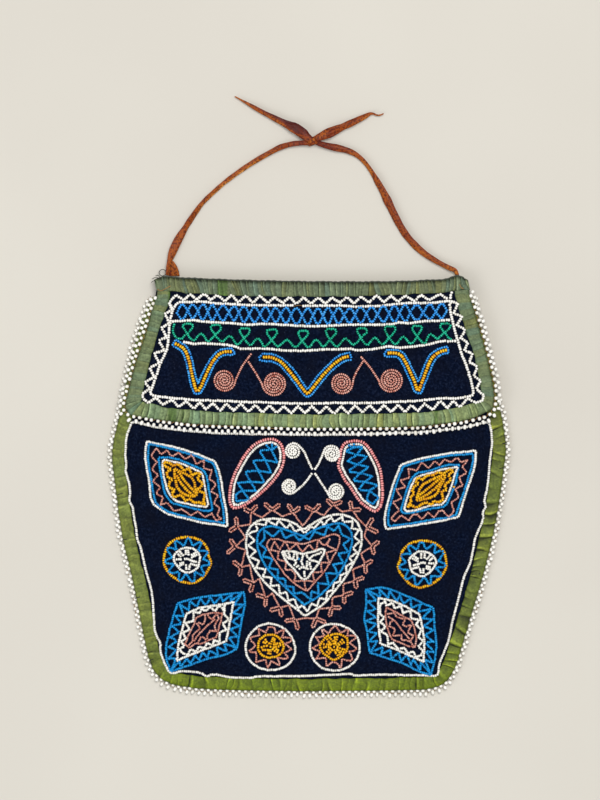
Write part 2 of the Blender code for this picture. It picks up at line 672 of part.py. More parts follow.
def make_edgings():
    """The picot edgings of white beads that stand out from both bindings."""
    near = LAYER_GAP + ROW_WIDTH / 2
    far = near + PICOT_REACH
    count = 2 * EDGING_TEETH["body"]
    points = []
    for i in range(count + 1):
        reach = far if i % 2 else near
        points.append(BODY_EDGE.at(i / count) - BODY_EDGE.left_normal(i / count) * reach)
    middle = (FRONT_EDGE_LEVEL + CLOTH + CLEAR) / 2
    bead_rows("body_edging_beads", [single(points, False)], lambda place: middle - ROW_HEIGHT / 2, "white")

    points = []
    last_side = None
    for edge, teeth in zip(flap_edge(), EDGING_TEETH["flap"]):
        for i in range(2 * teeth + 1):
            normal = edge.left_normal(i / (2 * teeth))
            if i == 0 and last_side:
                points.pop()
                normal = (normal + last_side).normalized()
            points.append(edge.at(i / (2 * teeth)) - normal * (far if i % 2 or (i == 0 and last_side) else near))
        last_side = normal
    bead_rows(
        "flap_edging_beads", [single(points, False)],
        lambda place: flap_bottom(place) + (CLOTH - ROW_HEIGHT) / 2, "white",
    )


def tie_in(points, place):
    """Adds a point to a closed row where it passes nearest to a place, and returns that point."""
    best = None
    for i, (a, b) in enumerate(zip(points, points[1:] + points[:1])):
        share = max(0.2, min(0.8, (place - a).dot(b - a) / (b - a).length_squared))
        spot = a.lerp(b, share)
        if best is None or (spot - place).length < (best[1] - place).length:
            best = (i + 1, spot)
    points.insert(*best)
    return best[1]


def make_frame(level):
    """The flap's white frame line with its zigzag, and the two lines across it."""
    line = Outline([FRAME_TOP_PX, FRAME_RIGHT_PX, FRAME_FOOT_PX, FRAME_LEFT_PX])
    rim = Outline([RIM_TOP_PX, RIM_RIGHT_PX, RIM_FOOT_PX, RIM_LEFT_PX])
    inwards = share_of(line, rim, ROW_WIDTH)
    frame = ring(line, rim, 0, FRAME_TEETH)
    teeth = zigzag(line, rim, 0, 1 - inwards, FRAME_TEETH)
    lines = [single(frame), single(teeth)]
    second = Curve(at(SECOND_LINE_PX)).cut(10)
    second[0] = tie_in(frame, second[0])
    second[-1] = tie_in(frame, second[-1])
    third = Curve(at(THIRD_LINE_PX)).cut(10)
    third[-1] = tie_in(frame, third[-1])
    lines += [single(second, False), single(third, False)]
    bead_rows("flap_frame_beads", lines, level, "white")


def make_lattice(level):
    """Two royal blue rows that cross and cross back between the frame and the second line."""
    top = Curve(at([(177.5, 304.5)] + FRAME_TOP_PX[1:] + [(446, 304)]))
    foot = Curve(at([(177.5, 320.5)] + SECOND_LINE_PX[1:-1] + [(446, 320)]))
    reach = ROW_STEP * 1.3
    upper = []
    lower = []
    for i in range(2 * LATTICE_CELLS + 1):
        share = i / (2 * LATTICE_CELLS)
        high = top.at(share) - Vector((0, reach))
        low = foot.at(share) + Vector((0, reach))
        if i % 2 == 0:
            crossing = high.lerp(low, 0.5)
            upper.append(crossing)
            lower.append(crossing)
        else:
            upper.append(high)
            lower.append(low)
    bead_rows("flap_lattice_beads", [single(upper, False), single(lower, False)], level, "royal")


def make_loops(level):
    """A green row that rises into a loop at each crossing and into a low peak between them."""
    rows = []
    crossings = at(LOOP_CROSSINGS_PX)
    width = 4.7 * PX
    for i, crossing in enumerate(crossings):
        rise = crossing + Vector((0, 9.0 * PX))
        shoulder = crossing + Vector((0, 6.0 * PX))
        loop = [
            crossing, shoulder - Vector((width, 0)), rise - Vector((width * 0.7, 0)),
            rise + Vector((width * 0.7, 0)), shoulder + Vector((width, 0)),
        ]
        rows.append(single(loop))
        if i + 1 < len(crossings):
            following = crossings[i + 1]
            peak = crossing.lerp(following, 0.5) + Vector((0, -1.0 * PX))
            down = Vector((0, -5.6 * PX))
            row = [crossing, crossing.lerp(following, 0.22) + down, peak, crossing.lerp(following, 0.78) + down, following]
            rows.append(single(row, False))
    start = crossings[0]
    rows.append(single([start] + at([(181, 338.5), (176, 336), (174.5, 326)]), False))
    bead_rows("flap_loop_beads", rows, level, "green")


def make_chevrons(level):
    """Three yellow V rows, each with one royal blue row right round it."""
    for number, points_px in enumerate(CHEVRONS_PX, 1):
        points = at(points_px)
        core = (points, False, 2 * ROW_STEP + ROW_WIDTH)
        bead_rows(f"flap_chevron_beads_{number}", [core], level, "royal")


def make_scrolls(level):
    """Two pairs of rose discs wound from one row each, whose ends rise to a point."""
    for number, (left, left_radius, right, right_radius, tip, join) in enumerate(SCROLL_DISCS_PX, 1):
        left, right, tip, join = at([left, right, tip, join])
        first = spiral(left, left_radius * PX, 3.0, 0, -1, 9)
        second = spiral(right, right_radius * PX, 3.0, 180, 1, 9)
        if number == 1:
            rows = [single([tip, join, first[0]] + first[1:], False), single([join] + second, False)]
        else:
            rows = [single([tip, join, second[0]] + second[1:], False), single([join] + first, False)]
        bead_rows(f"flap_scroll_beads_{number}", rows, level, "rose")


def make_upper_diamond(side, outer_px, inner_px, level):
    """White and blue rows outside and inside a rose zigzag, round a yellow leaf."""
    outer = Outline(outer_px)
    inner = Outline(inner_px)
    step = share_of(outer, inner, ROW_STEP)
    counts = (4, 4, 4, 4)
    double = ROW_STEP + ROW_WIDTH
    name = f"{side}_upper_diamond"
    bead_rows(f"{name}_outer_rows", [(ring(outer, inner, step / 2, counts), True, double)], level, "white")
    points = zigzag(outer, inner, 1 - 1.35 * step, 2.45 * step, counts)
    bead_rows(f"{name}_zigzag", [single(points)], level, "rose")
    bead_rows(f"{name}_inner_rows", [(ring(outer, inner, 1 + step / 2, counts), True, double)], level, "cerulean")
    rim = ring(outer, inner, 1 + 2.4 * step, (2, 2, 2, 2))
    tips = (rim[2], rim[6]) if side == "right" else (rim[0], rim[4])
    middle = tips[0].lerp(tips[1], 0.5)
    across = (tips[1] - tips[0]).orthogonal() * 0.10
    rows = [single(rim), single([tips[0], middle, tips[1]], False)]
    for bend in (-1, 1):
        leaf = [tips[0], tips[0].lerp(tips[1], 0.3) + bend * across, tips[0].lerp(tips[1], 0.7) + bend * across, tips[1]]
        rows.append(single(leaf, False))
    bead_rows(f"{name}_leaf", rows, level, "yellow")


def make_lower_diamond(side, outer_px, middle_px, inner_px, level):
    """A blue ring with teeth inwards, a white one inside it and a rose leaf in the middle."""
    outer = Outline(outer_px)
    middle = Outline(middle_px)
    inner = Outline(inner_px)
    name = f"{side}_lower_diamond"
    counts = (3, 3, 3, 3)
    short = 1 - share_of(outer, middle, 1.4 * ROW_STEP)
    rows = [single(ring(outer, middle, 0, counts)), single(zigzag(outer, middle, 0, short, counts))]
    bead_rows(f"{name}_outer_ring", rows, level, "cerulean")
    short = 1 - share_of(middle, inner, 1.7 * ROW_STEP)
    rows = [single(ring(middle, inner, 0, (2, 2, 2, 2))), single(zigzag(middle, inner, 0, short, (2, 2, 2, 2)))]
    bead_rows(f"{name}_middle_ring", rows, level, "white")
    rim = ring(inner, inner, 0, (2, 2, 2, 2))
    ends = (rim[2], rim[6]) if side == "left" else (rim[0], rim[4])
    bead_rows(f"{name}_leaf", [single(rim), single([ends[0], ends[0].lerp(ends[1], 0.5), ends[1]], False)], level, "rose")


def make_side_rosette(side, level):
    """A yellow ring, a blue zigzag inside it and a white wheel with spokes."""
    centre, radius_x, radius_y, wheel = SIDE_ROSETTES_PX[side]
    centre = at([centre])[0]
    name = f"{side}_rosette"
    bead_rows(f"{name}_ring", [single(ellipse(centre, radius_x * PX, radius_y * PX, 16))], level, "yellow")
    teeth = 12
    far = ellipse(centre, radius_x * PX - 1.12 * ROW_STEP, radius_y * PX - 1.12 * ROW_STEP, teeth)
    near = ellipse(centre, wheel * PX + 1.12 * ROW_STEP, wheel * PX + 1.12 * ROW_STEP, teeth, 0.5)
    bead_rows(f"{name}_zigzag", [single([p for pair in zip(far, near) for p in pair])], level, "cerulean")
    rim = ellipse(centre, wheel * PX, wheel * PX, 10)
    spokes = [single([centre, rim[i]], False) for i in (0, 2, 4, 6, 8)]
    bead_rows(f"{name}_wheel", [single(rim)] + spokes, level, "white")


def make_foot_rosette(side, level):
    """A white ring, a rose zigzag inside it and a yellow disc wound from one row."""
    centre, radius_x, radius_y, disc = FOOT_ROSETTES_PX[side]
    centre = at([centre])[0]
    name = f"{side}_foot_rosette"
    bead_rows(f"{name}_ring", [single(ellipse(centre, radius_x * PX, radius_y * PX, 16))], level, "white")
    teeth = 12
    far = ellipse(centre, radius_x * PX - 1.12 * ROW_STEP, radius_y * PX - 1.12 * ROW_STEP, teeth)
    near = ellipse(centre, disc * PX + 1.12 * ROW_STEP, disc * PX + 1.12 * ROW_STEP, teeth, 0.5)
    bead_rows(f"{name}_zigzag", [single([p for pair in zip(far, near) for p in pair])], level, "rose")
    winding = spiral(centre, disc * PX, 4.0, 0, 1, 10)
    bead_rows(f"{name}_disc", [single(winding, False)], level, "yellow")


def make_leaf(side, rim_px, core_px, level):
    """A thick coral and white rim round a lattice of blue beads."""
    rim = Outline(rim_px)
    core = Outline(core_px)
    bead_rows(f"{side}_leaf_rim", [(ring(rim, core, 0, (6, 6)), True, ROW_STEP + ROW_WIDTH)], level, "coral")
    shares = [0.1, 0.3, 0.5, 0.7, 0.9]
    crossings = [core.at(0, s).lerp(core.at(1, 1 - s), 0.5) for s in shares]
    rows = []
    for first, second, share in zip(crossings, crossings[1:], shares):
        for edge, place in ((0, share + 0.1), (1, 0.9 - share)):
            corner = core.at(edge, place)
            corner = corner.lerp(first.lerp(second, 0.5), 0.2)
            rows.append(single([first, corner, second], False))
    bead_rows(f"{side}_leaf_lattice", rows, level, "cerulean")


def make_cross(level):
    """Four white discs wound from one row each, whose arms meet in the middle."""
    rows = []
    centre = at([CROSS_CENTRE_PX])[0]
    for disc, radius, start, sense, arm in CROSS_ARMS_PX:
        winding = spiral(at([disc])[0], radius * PX, 2.0, start, sense, 8)
        rows.append(single([centre] + list(reversed(at(arm))) + winding, False))
    bead_rows("scroll_cross_beads", rows, level, "white")


def make_heart(level):
    """A white, a blue and a rose ring with teeth inwards, round a white triangle."""
    rings = [Outline(HEART_OUTER_PX), Outline(HEART_MIDDLE_PX), Outline(HEART_INNER_PX), Outline(HEART_CORE_PX)]
    parts = (
        ("heart_outer_ring", "white", 9, 0.6), ("heart_middle_ring", "cerulean", 7, 0.6),
        ("heart_inner_ring", "rose", 6, 0.45),
    )
    for (name, colour, teeth, short), outer, inner in zip(parts, rings, rings[1:]):
        counts = (teeth, teeth)
        rows = [single(ring(outer, inner, 0, counts)), single(zigzag(outer, inner, 0, short, counts))]
        bead_rows(name, rows, level, colour)
    core = ring(rings[3], rings[3], 0, (4, 4))
    centre = sum(core, Vector((0, 0))) / len(core)
    rows = [single(core)] + [single([centre, core[i]], False) for i in (0, 2, 4, 6)]
    bead_rows("heart_core", rows, level, "white")


def make_sprigs(level):
    """A rose zigzag round the heart, with a sprig of two petals on each outer point."""
    apexes = at(SPRIG_APEXES_PX)
    feet = at(SPRIG_FEET_PX)
    rows = [single([p for pair in zip(apexes, feet) for p in pair])]
    for apex, tips in zip(apexes, SPRIG_PETALS_PX):
        for tip in at(tips):
            rows.append((([apex, tip.lerp(apex, 0.12)]), False, ROW_WIDTH * 1.5))
    bead_rows("heart_sprigs", rows, level, "rose")


def make_strap():
    """Two lengths of silk ribbon knotted together, with a tail each and a fold at one foot."""
    def place(point):
        x, y = at([point[:2]])[0]
        return (x, y, point[2] * MM)

    routes = (
        ("strap_left", STRAP_LEFT_PX, 1.0), ("strap_right", STRAP_RIGHT_PX, 1.0),
        ("strap_tail_left", TAIL_LEFT_PX, 0.35), ("strap_tail_right", TAIL_RIGHT_PX, 0.35),
    )
    for name, route, taper in routes:
        curve = bpy.data.curves.new(name, "CURVE")
        curve.dimensions = "3D"
        curve.bevel_depth = STRAP_DIAMETER / 2
        curve.bevel_resolution = 1
        curve.use_fill_caps = True
        spline = curve.splines.new("POLY")
        spline.points.add(len(route) - 1)
        for i, point in enumerate(route):
            spline.points[i].co = (*place(point), 1.0)
            spline.points[i].radius = 1.0 if taper == 1.0 else 1.0 - (1 - taper) * i / (len(route) - 1)
        piece = bpy.data.objects.new(name, curve)
        piece.data.materials.append(material("rust", 0.5))
        bpy.context.collection.objects.link(piece)

    bm = bmesh.new()
    bmesh.ops.create_uvsphere(bm, u_segments=12, v_segments=6, radius=1.0)
    centre = Vector((*at([KNOT_PX])[0], KNOT_RADII[2] + 0.1 * MM))
    for vertex in bm.verts:
        vertex.co = centre + Vector([a * b for a, b in zip(vertex.co, KNOT_RADII)])
    add_object("strap_knot", bm, "rust", 0.5)

    bm = bmesh.new()
    outline = at(BOW_PX)
    face = bm.faces.new([bm.verts.new((*point, BOW_LEVEL)) for point in outline])
    raised = bmesh.ops.extrude_face_region(bm, geom=[face])["geom"]
    bmesh.ops.translate(bm, vec=(0, 0, RIBBON), verts=[v for v in raised if isinstance(v, bmesh.types.BMVert)])
    add_object("strap_fold", bm, "rust", 0.5)


def build():
    for old in list(bpy.data.objects):
        bpy.data.objects.remove(old, do_unlink=True)
    back, front, flap = make_panels()
    make_bindings()
    make_edgings()
    on_flap = resting_on(flap)
    make_frame(on_flap)
    make_lattice(on_flap)
    make_loops(on_flap)
    make_chevrons(on_flap)
    make_scrolls(on_flap)
    on_front = resting_on(front)
    depth = RIBBON_WIDTH + BORDER_INSET
    sides = [BODY_EDGE.at(i / 44) + BODY_EDGE.left_normal(i / 44) * depth for i in range(8, 37)]
    top = at(BORDER_TOP_PX)
    bead_rows("body_border_beads", [single(sides + list(reversed(top)))], on_front, "white")
    make_upper_diamond("left", UPPER_LEFT_OUTER_PX, UPPER_LEFT_INNER_PX, on_front)
    make_upper_diamond("right", UPPER_RIGHT_OUTER_PX, UPPER_RIGHT_INNER_PX, on_front)
    make_lower_diamond("left", LOWER_LEFT_OUTER_PX, LOWER_LEFT_MIDDLE_PX, LOWER_LEFT_INNER_PX, on_front)
    make_lower_diamond("right", LOWER_RIGHT_OUTER_PX, LOWER_RIGHT_MIDDLE_PX, LOWER_RIGHT_INNER_PX, on_front)
    for side in ("left", "right"):
        make_side_rosette(side, on_front)
        make_foot_rosette(side, on_front)
    make_leaf("left", LEFT_LEAF_RIM_PX, LEFT_LEAF_CORE_PX, on_front)
    make_leaf("right", RIGHT_LEAF_RIM_PX, RIGHT_LEAF_CORE_PX, on_front)
    make_cross(on_front)
    make_heart(on_front)
    make_sprigs(on_front)
    make_strap()


build()
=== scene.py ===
"""The looks of a flat beaded cloth pouch: wool panels, gathered ribbon, sewn glass beads and a silk strap.

Lengths are in metres and +Z is up. Outlines are written in the photograph's pixels (600 x 800), as in
the part's source, and spot() turns them into places on the pouch.
"""
import math

import bpy
import numpy as np
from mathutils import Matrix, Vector


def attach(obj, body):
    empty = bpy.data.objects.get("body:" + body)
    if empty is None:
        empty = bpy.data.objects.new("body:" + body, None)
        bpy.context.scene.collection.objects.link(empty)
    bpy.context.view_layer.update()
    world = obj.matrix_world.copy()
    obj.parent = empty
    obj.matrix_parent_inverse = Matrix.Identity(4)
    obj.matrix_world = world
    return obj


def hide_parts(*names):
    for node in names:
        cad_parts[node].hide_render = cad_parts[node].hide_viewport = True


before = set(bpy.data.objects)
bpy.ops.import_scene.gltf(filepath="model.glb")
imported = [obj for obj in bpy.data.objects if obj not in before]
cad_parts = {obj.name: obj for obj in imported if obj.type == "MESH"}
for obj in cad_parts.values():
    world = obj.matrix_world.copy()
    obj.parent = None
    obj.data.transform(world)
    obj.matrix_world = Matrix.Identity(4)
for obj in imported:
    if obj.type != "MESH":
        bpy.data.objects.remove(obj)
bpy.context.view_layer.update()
dice = np.random.default_rng(27)

MM = 0.001

# The pouch's real size, and what it measures in the photograph
POUCH_WIDTH = 181.0 * MM
POUCH_HEIGHT = 190.0 * MM
WIDTH_PX = 403.0
HEIGHT_PX = 422.0
CENTRE_PX = (308.9, 486.0)
IMAGE_PX = (600, 800)
PX = POUCH_WIDTH / WIDTH_PX

# The layers, as in the part's source
CLOTH = 1.2 * MM
RIBBON = 0.5 * MM
LAYER_GAP = 0.3 * MM
DRAPE_GAP = 1.8 * MM
CAVITY = 4.3 * MM
RIBBON_WIDTH = 5.3 * MM
PANEL_INSET = 1.35 * MM
HEM_EASE = 0.6 * MM
EDGE_RISE = 7.5 * MM
BACK_RISE = 4.0 * MM
MOUTH_DEPTH = 21.0 * MM
FLAP_HEM_RISE = 10.0 * MM
CLEAR = RIBBON + LAYER_GAP
FLAT_EDGE = RIBBON_WIDTH + CLEAR
BACK_LEVEL = CLEAR
FRONT_EDGE_LEVEL = BACK_LEVEL + CLOTH + LAYER_GAP
FRONT_LEVEL = CLOTH + CAVITY
FLAP_LEVEL = FRONT_LEVEL + 0.8 * MM

CAMERA_DISTANCE = 2.2
SENSOR_WIDTH = 36

FRONT_PUCKER = 0.10 * MM
FLAP_PUCKER = 0.09 * MM
# How wide the flap's ribbon is between the two lines that were traced
TRACED_HEM_PX = 13.6

# What keeps a division from meeting zero, in metres and in pixels, and a distance beyond all others
TINY = 1e-12
TINY_PX = 1e-9
FAR = 1e9

# Outlines of the cloth
BODY_EDGE_PX = [
    (152, 297), (145, 312), (136, 338), (129, 365), (122, 400), (117, 423), (112.5, 443), (111.5, 460),
    (113.5, 477), (118, 513), (123, 543), (132, 580), (143, 635), (148, 657), (155, 673), (168, 683),
    (188, 687.5), (220, 690), (300, 691.5), (407, 690.5), (430, 689), (445, 683), (455, 669), (463, 645),
    (470.5, 620), (486.5, 566), (498, 513), (505, 465), (506.5, 447), (503.5, 422), (498.5, 400),
    (490.5, 360), (481, 325), (474, 299),
]
LEFT_FOOT_PX = (155, 673)
RIGHT_FOOT_PX = (445, 683)
TOP_EDGE_PX = [
    (154, 280), (163, 276.5), (180, 277.5), (200, 278.5), (240, 280), (310, 281.5), (390, 281.5),
    (430, 280), (446, 279), (458, 275.5), (468, 280),
]
TOP_HEM_PX = [
    (157, 292), (170, 291.5), (185, 293), (230, 296), (310, 297), (375, 296), (410, 294.5), (440, 293),
    (455, 291.5), (470, 290),
]
FLAP_LEFT_PX = [(157.5, 291), (156, 299), (152, 310), (146, 333), (136, 362), (129, 388), (125.5, 405)]
FLAP_FOOT_PX = [
    (129, 415), (150, 418.5), (190, 423.5), (230, 425.5), (310, 428), (400, 427), (440, 424), (470, 419),
]
FLAP_RIGHT_PX = [(493, 409), (493.5, 390), (487, 358), (479, 328), (471, 300), (469.5, 290)]
HEM_LEFT_PX = [(170.5, 291), (169.5, 300), (161, 325), (150, 362), (144, 388)]
HEM_FOOT_PX = [
    (141.5, 401), (170, 407.5), (200, 410.5), (240, 412.5), (310, 414), (400, 413), (440, 410),
    (465, 405.5),
]
HEM_RIGHT_PX = [(482.5, 399), (475, 360), (465, 330), (456, 301), (454, 291)]


def spot(places_px):
    """Turns pixel places in the photograph into places on the pouch."""
    scale = np.array([POUCH_WIDTH / WIDTH_PX, -POUCH_HEIGHT / HEIGHT_PX])
    return (np.asarray(places_px, float) - np.array(CENTRE_PX)) * scale


def smooth(points, closed=False, steps=10):
    """A smooth line through points, as a dense row of places."""
    points = np.asarray(points, float)
    if closed:
        line = np.vstack([points[-1:], points, points[:2]])
    else:
        line = np.vstack([2 * points[:1] - points[1:2], points, 2 * points[-1:] - points[-2:-1]])
    t = (np.arange(steps) / steps)[:, None]
    spans = []
    for before, start, end, after in zip(line, line[1:], line[2:], line[3:]):
        bend = (2 * before - 5 * start + 4 * end - after) * t * t
        bend = bend + (3 * start - before - 3 * end + after) * t ** 3
        spans.append(0.5 * (2 * start + (end - before) * t + bend))
    if not closed:
        spans.append(points[-1:])
    return np.vstack(spans)


def lengths(path):
    """How far along the path each of its points is."""
    return np.concatenate([[0.0], np.cumsum(np.linalg.norm(np.diff(path, axis=0), axis=1))])


def along(path, shares):
    """Places at shares of the path's length."""
    reach = lengths(path)
    goal = np.asarray(shares, float) * reach[-1]
    return np.stack([np.interp(goal, reach, path[:, k]) for k in range(path.shape[1])], axis=-1)


def left_normals(path):
    """Unit vectors to the left of the path, one at each of its points."""
    ahead = np.gradient(path[:, :2], axis=0)
    ahead /= np.linalg.norm(ahead, axis=1)[:, None] + TINY
    return np.stack([-ahead[:, 1], ahead[:, 0]], axis=1)


def distance_to(line, places):
    """The distance from each place to a line."""
    best = np.full(len(places), FAR)
    for start, end in zip(line, line[1:]):
        step = end - start
        share = np.clip((places - start) @ step / (step @ step), 0, 1)
        best = np.minimum(best, np.linalg.norm(places - start - share[:, None] * step, axis=1))
    return best


def ease(value):
    """A smooth step from 0 to 1."""
    value = np.clip(value, 0, 1)
    return value * value * (3 - 2 * value)


def waves(places, scale, seed):
    """Smooth noise from -1 to 1, with features of about scale metres."""
    own = np.random.default_rng(seed)
    total = np.zeros(len(places))
    for _ in range(7):
        heading = own.uniform(0, math.pi)
        step = own.uniform(0.7, 1.6) * 2 * math.pi / scale
        phase = own.uniform(0, 2 * math.pi)
        total += np.sin(places @ np.array([math.cos(heading), math.sin(heading)]) * step + phase)
    return total / 3.5


BODY_EDGE = smooth(spot(BODY_EDGE_PX))
TOP_EDGE = smooth(spot(TOP_EDGE_PX))
FLAP_FOOT = smooth(spot(FLAP_FOOT_PX + FLAP_RIGHT_PX[:1]))


def front_bottom(places):
    """The level of the front panel's lower face, which rises from its sewn edge."""
    rise = ease((distance_to(BODY_EDGE, places) - FLAT_EDGE) / EDGE_RISE)
    return FRONT_EDGE_LEVEL + (FRONT_LEVEL - FRONT_EDGE_LEVEL) * rise


def front_top(places):
    """The level of the front panel's face, with the slight puckers that the stitching leaves."""
    return front_bottom(places) + CLOTH + FRONT_PUCKER * waves(places, 16 * MM, 3)


def back_bottom(places):
    """The level of the back panel's lower face, raised along its edges by the ribbon under it."""
    near = np.minimum(distance_to(BODY_EDGE, places), distance_to(TOP_EDGE, places))
    return BACK_LEVEL * (1 - np.clip((near - FLAT_EDGE) / BACK_RISE, 0, 1))


def back_top(places):
    return back_bottom(places) + CLOTH


def flap_bottom(places):
    """The level of the flap's lower face, which lies over the front and rises at its bound hem."""
    over_front = front_bottom(places) + CLOTH + DRAPE_GAP - FLAP_LEVEL
    drape = np.maximum(0, over_front) * ease(distance_to(TOP_EDGE, places) / MOUTH_DEPTH)
    hem = 1 - ease((distance_to(FLAP_FOOT, places) - FLAT_EDGE) / FLAP_HEM_RISE)
    return FLAP_LEVEL + drape + CLEAR * hem


def flap_top(places):
    """The level of the flap's face, with its puckers."""
    return flap_bottom(places) + CLOTH + FLAP_PUCKER * waves(places, 14 * MM, 5)


# Materials

# Wool: stops of its nap, where it is worn, and its lint
WOOL_NAP = [
    (0.32, (0.0006, 0.0016, 0.0065)), (0.50, (0.0014, 0.0042, 0.0165)), (0.72, (0.0105, 0.0180, 0.0460)),
]
WOOL_WORN = (0.0030, 0.0042, 0.0110)
WOOL_LINT = (0.035, 0.048, 0.085)

# Gathered ribbon: what multiplies its colour from painted shade in a crease to painted highlight on a crest,
# how its pleats fade, and its unfaded green
PLEAT_SHADE_AND_HIGHLIGHT = [
    (0.04, (0.13, 0.14, 0.13)), (0.24, (0.52, 0.53, 0.50)), (0.50, (0.98, 0.98, 0.96)),
    (0.74, (1.30, 1.28, 1.22)), (0.97, (2.15, 2.0, 2.1)),
]
PLEAT_HUES = [(0.05, (0.80, 0.97, 1.28)), (0.50, (1.0, 1.0, 1.0)), (0.95, (1.18, 1.02, 0.68))]
UNFADED_SILK = (0.062, 0.125, 0.022)
PATCH_LEVEL = (0.58, 0.60, 0.60)
FIBRE_LEVEL = (1.75, 1.70, 1.65)

# The strap's silk: from painted shade in its folds to painted ochre highlight on its lit facets, then its rib,
# its patches and its specks
SILK_SHADE_AND_HIGHLIGHT = [
    (0.05, (0.050, 0.006, 0.008)), (0.30, (0.185, 0.026, 0.006)), (0.55, (0.370, 0.084, 0.008)),
    (0.78, (0.600, 0.200, 0.022)), (0.97, (0.880, 0.430, 0.105)),
]
SILK_RIB = (0.105, 0.014, 0.004)
SILK_PATCH = (0.190, 0.028, 0.006)
SILK_SPECK = (0.062, 0.007, 0.005)


class Shader:
    """A procedural material, built up from nodes."""

    def __init__(self, name, **constants):
        self.material = bpy.data.materials.new(name)
        self.material.use_nodes = True
        self.nodes = self.material.node_tree.nodes
        self.links = self.material.node_tree.links
        self.main = self.nodes["Principled BSDF"]
        for key, value in constants.items():
            self.main.inputs[key.replace("_", " ")].default_value = value

    def add(self, kind, **settings):
        """Adds a node; a setting that starts with i_ is one of its inputs."""
        node = self.nodes.new("ShaderNode" + kind)
        for key, value in settings.items():
            if key.startswith("i_"):
                node.inputs[key[2:].replace("_", " ")].default_value = value
            else:
                setattr(node, key, value)
        return node

    def feed(self, socket, value):
        """Links a value to a socket, or sets a number or a colour there."""
        if isinstance(value, bpy.types.NodeSocket):
            self.links.new(value, socket)
        else:
            socket.default_value = (*value, 1.0) if isinstance(value, tuple) else value

    def place(self, stretch=(1, 1, 1)):
        """Object coordinates, stretched."""
        source = self.add("TexCoord")
        mapping = self.add("Mapping", i_Scale=stretch)
        self.links.new(source.outputs["Object"], mapping.inputs["Vector"])
        return mapping.outputs["Vector"]

    def noise(self, scale, detail, rough):
        node = self.add("TexNoise", i_Scale=scale, i_Detail=detail, i_Roughness=rough)
        self.links.new(self.place(), node.inputs["Vector"])
        return node.outputs["Fac"]

    def attribute(self, name):
        return self.add("Attribute", attribute_name=name).outputs["Fac"]

    def ramp(self, factor, stops):
        """A colour ramp: stops are (position, colour)."""
        node = self.add("ValToRGB")
        elements = node.color_ramp.elements
        while len(elements) < len(stops):
            elements.new(0.5)
        for element, (position, colour) in zip(elements, stops):
            element.position = position
            element.color = (*colour, 1.0)
        self.links.new(factor, node.inputs["Fac"])
        return node.outputs["Color"]

    def mix(self, factor, first, second, blend="MIX"):
        """A mix of two colours; inputs 0, 6 and 7 and output 2 are the node's sockets for colours."""
        node = self.add("Mix", data_type="RGBA", blend_type=blend)
        for value, index in ((factor, 0), (first, 6), (second, 7)):
            self.feed(node.inputs[index], value)
        return node.outputs[2]

    def tinted(self, first, second):
        """One colour multiplied by another."""
        return self.mix(1.0, first, second, "MULTIPLY")

    def largest(self, first, second):
        node = self.add("Math", operation="MAXIMUM")
        self.feed(node.inputs[0], first)
        self.feed(node.inputs[1], second)
        return node.outputs[0]

    def fit(self, value, low, high, new_low, new_high):
        """Maps a value from one range to another."""
        node = self.add("MapRange", i_From_Min=low, i_From_Max=high, i_To_Min=new_low, i_To_Max=new_high)
        self.links.new(value, node.inputs["Value"])
        return node.outputs["Result"]

    def bump(self, height, strength, distance):
        """Adds a bump over those that the material already has."""
        node = self.add("Bump", i_Strength=strength, i_Distance=distance)
        self.links.new(height, node.inputs["Height"])
        previous = self.main.inputs["Normal"]
        if previous.is_linked:
            self.links.new(previous.links[0].from_socket, node.inputs["Normal"])
        self.links.new(node.outputs["Normal"], previous)

    def paint(self, colour, rough=None):
        self.links.new(colour, self.main.inputs["Base Color"])
        if rough is not None:
            self.links.new(rough, self.main.inputs["Roughness"])
        return self.material


def wool_material():
    """Fulled navy wool: a soft nap with fine fibres, blotched, with a little pale lint."""
    shader = Shader(
        "navy_wool", Specular_IOR_Level=0.04, Sheen_Weight=0.035, Sheen_Roughness=0.5,
        Sheen_Tint=(0.35, 0.42, 0.62, 1.0),
    )
    nap = shader.noise(900, 4, 0.7)
    tufts = shader.noise(2600, 2, 0.6)
    patches = shader.noise(120, 3, 0.6)
    base = shader.ramp(nap, WOOL_NAP)
    worn = shader.mix(shader.fit(patches, 0.40, 0.70, 0.0, 0.8), base, WOOL_WORN)
    lint = shader.fit(shader.noise(1500, 1, 0.4), 0.70, 0.80, 0.0, 0.55)
    colour = shader.mix(lint, worn, WOOL_LINT)
    shader.bump(nap, 0.45, 0.0005)
    shader.bump(tufts, 0.30, 0.0003)
    return shader.paint(colour, shader.fit(nap, 0.3, 0.8, 1.0, 0.88))


def ribbon_material(name, tones):
    """Gathered silk ribbon: painted shade in its creases, painted highlights on its narrow crests, and pleats
    that fade each its own way.
    """
    shader = Shader(name, Specular_IOR_Level=0.20, Sheen_Weight=0.02, Sheen_Roughness=0.4)
    base = shader.ramp(shader.attribute("tint"), list(zip((0.0, 0.5, 1.0), tones)))
    # Painted shade in the pleats' creases and painted highlights on their crests, read from the ribbon's tone
    # attribute
    level = shader.ramp(shader.attribute("painted_shading"), PLEAT_SHADE_AND_HIGHLIGHT)
    own = shader.ramp(shader.attribute("streak"), PLEAT_HUES)
    colour = shader.tinted(shader.tinted(base, level), own)
    fresh = shader.tinted(level, UNFADED_SILK)
    colour = shader.mix(shader.attribute("fresh"), colour, fresh)
    patches = shader.fit(shader.noise(330, 5, 0.75), 0.38, 0.64, 0.0, 1.0)
    colour = shader.mix(patches, colour, shader.tinted(colour, PATCH_LEVEL))
    fibres = shader.fit(shader.noise(1150, 4, 0.75), 0.40, 0.66, 0.0, 1.0)
    colour = shader.mix(fibres, colour, shader.tinted(colour, FIBRE_LEVEL))
    shader.bump(shader.noise(2400, 2, 0.6), 0.30, 0.0002)
    return shader.paint(colour, shader.fit(shader.attribute("painted_shading"), 0.0, 1.0, 0.62, 0.44))
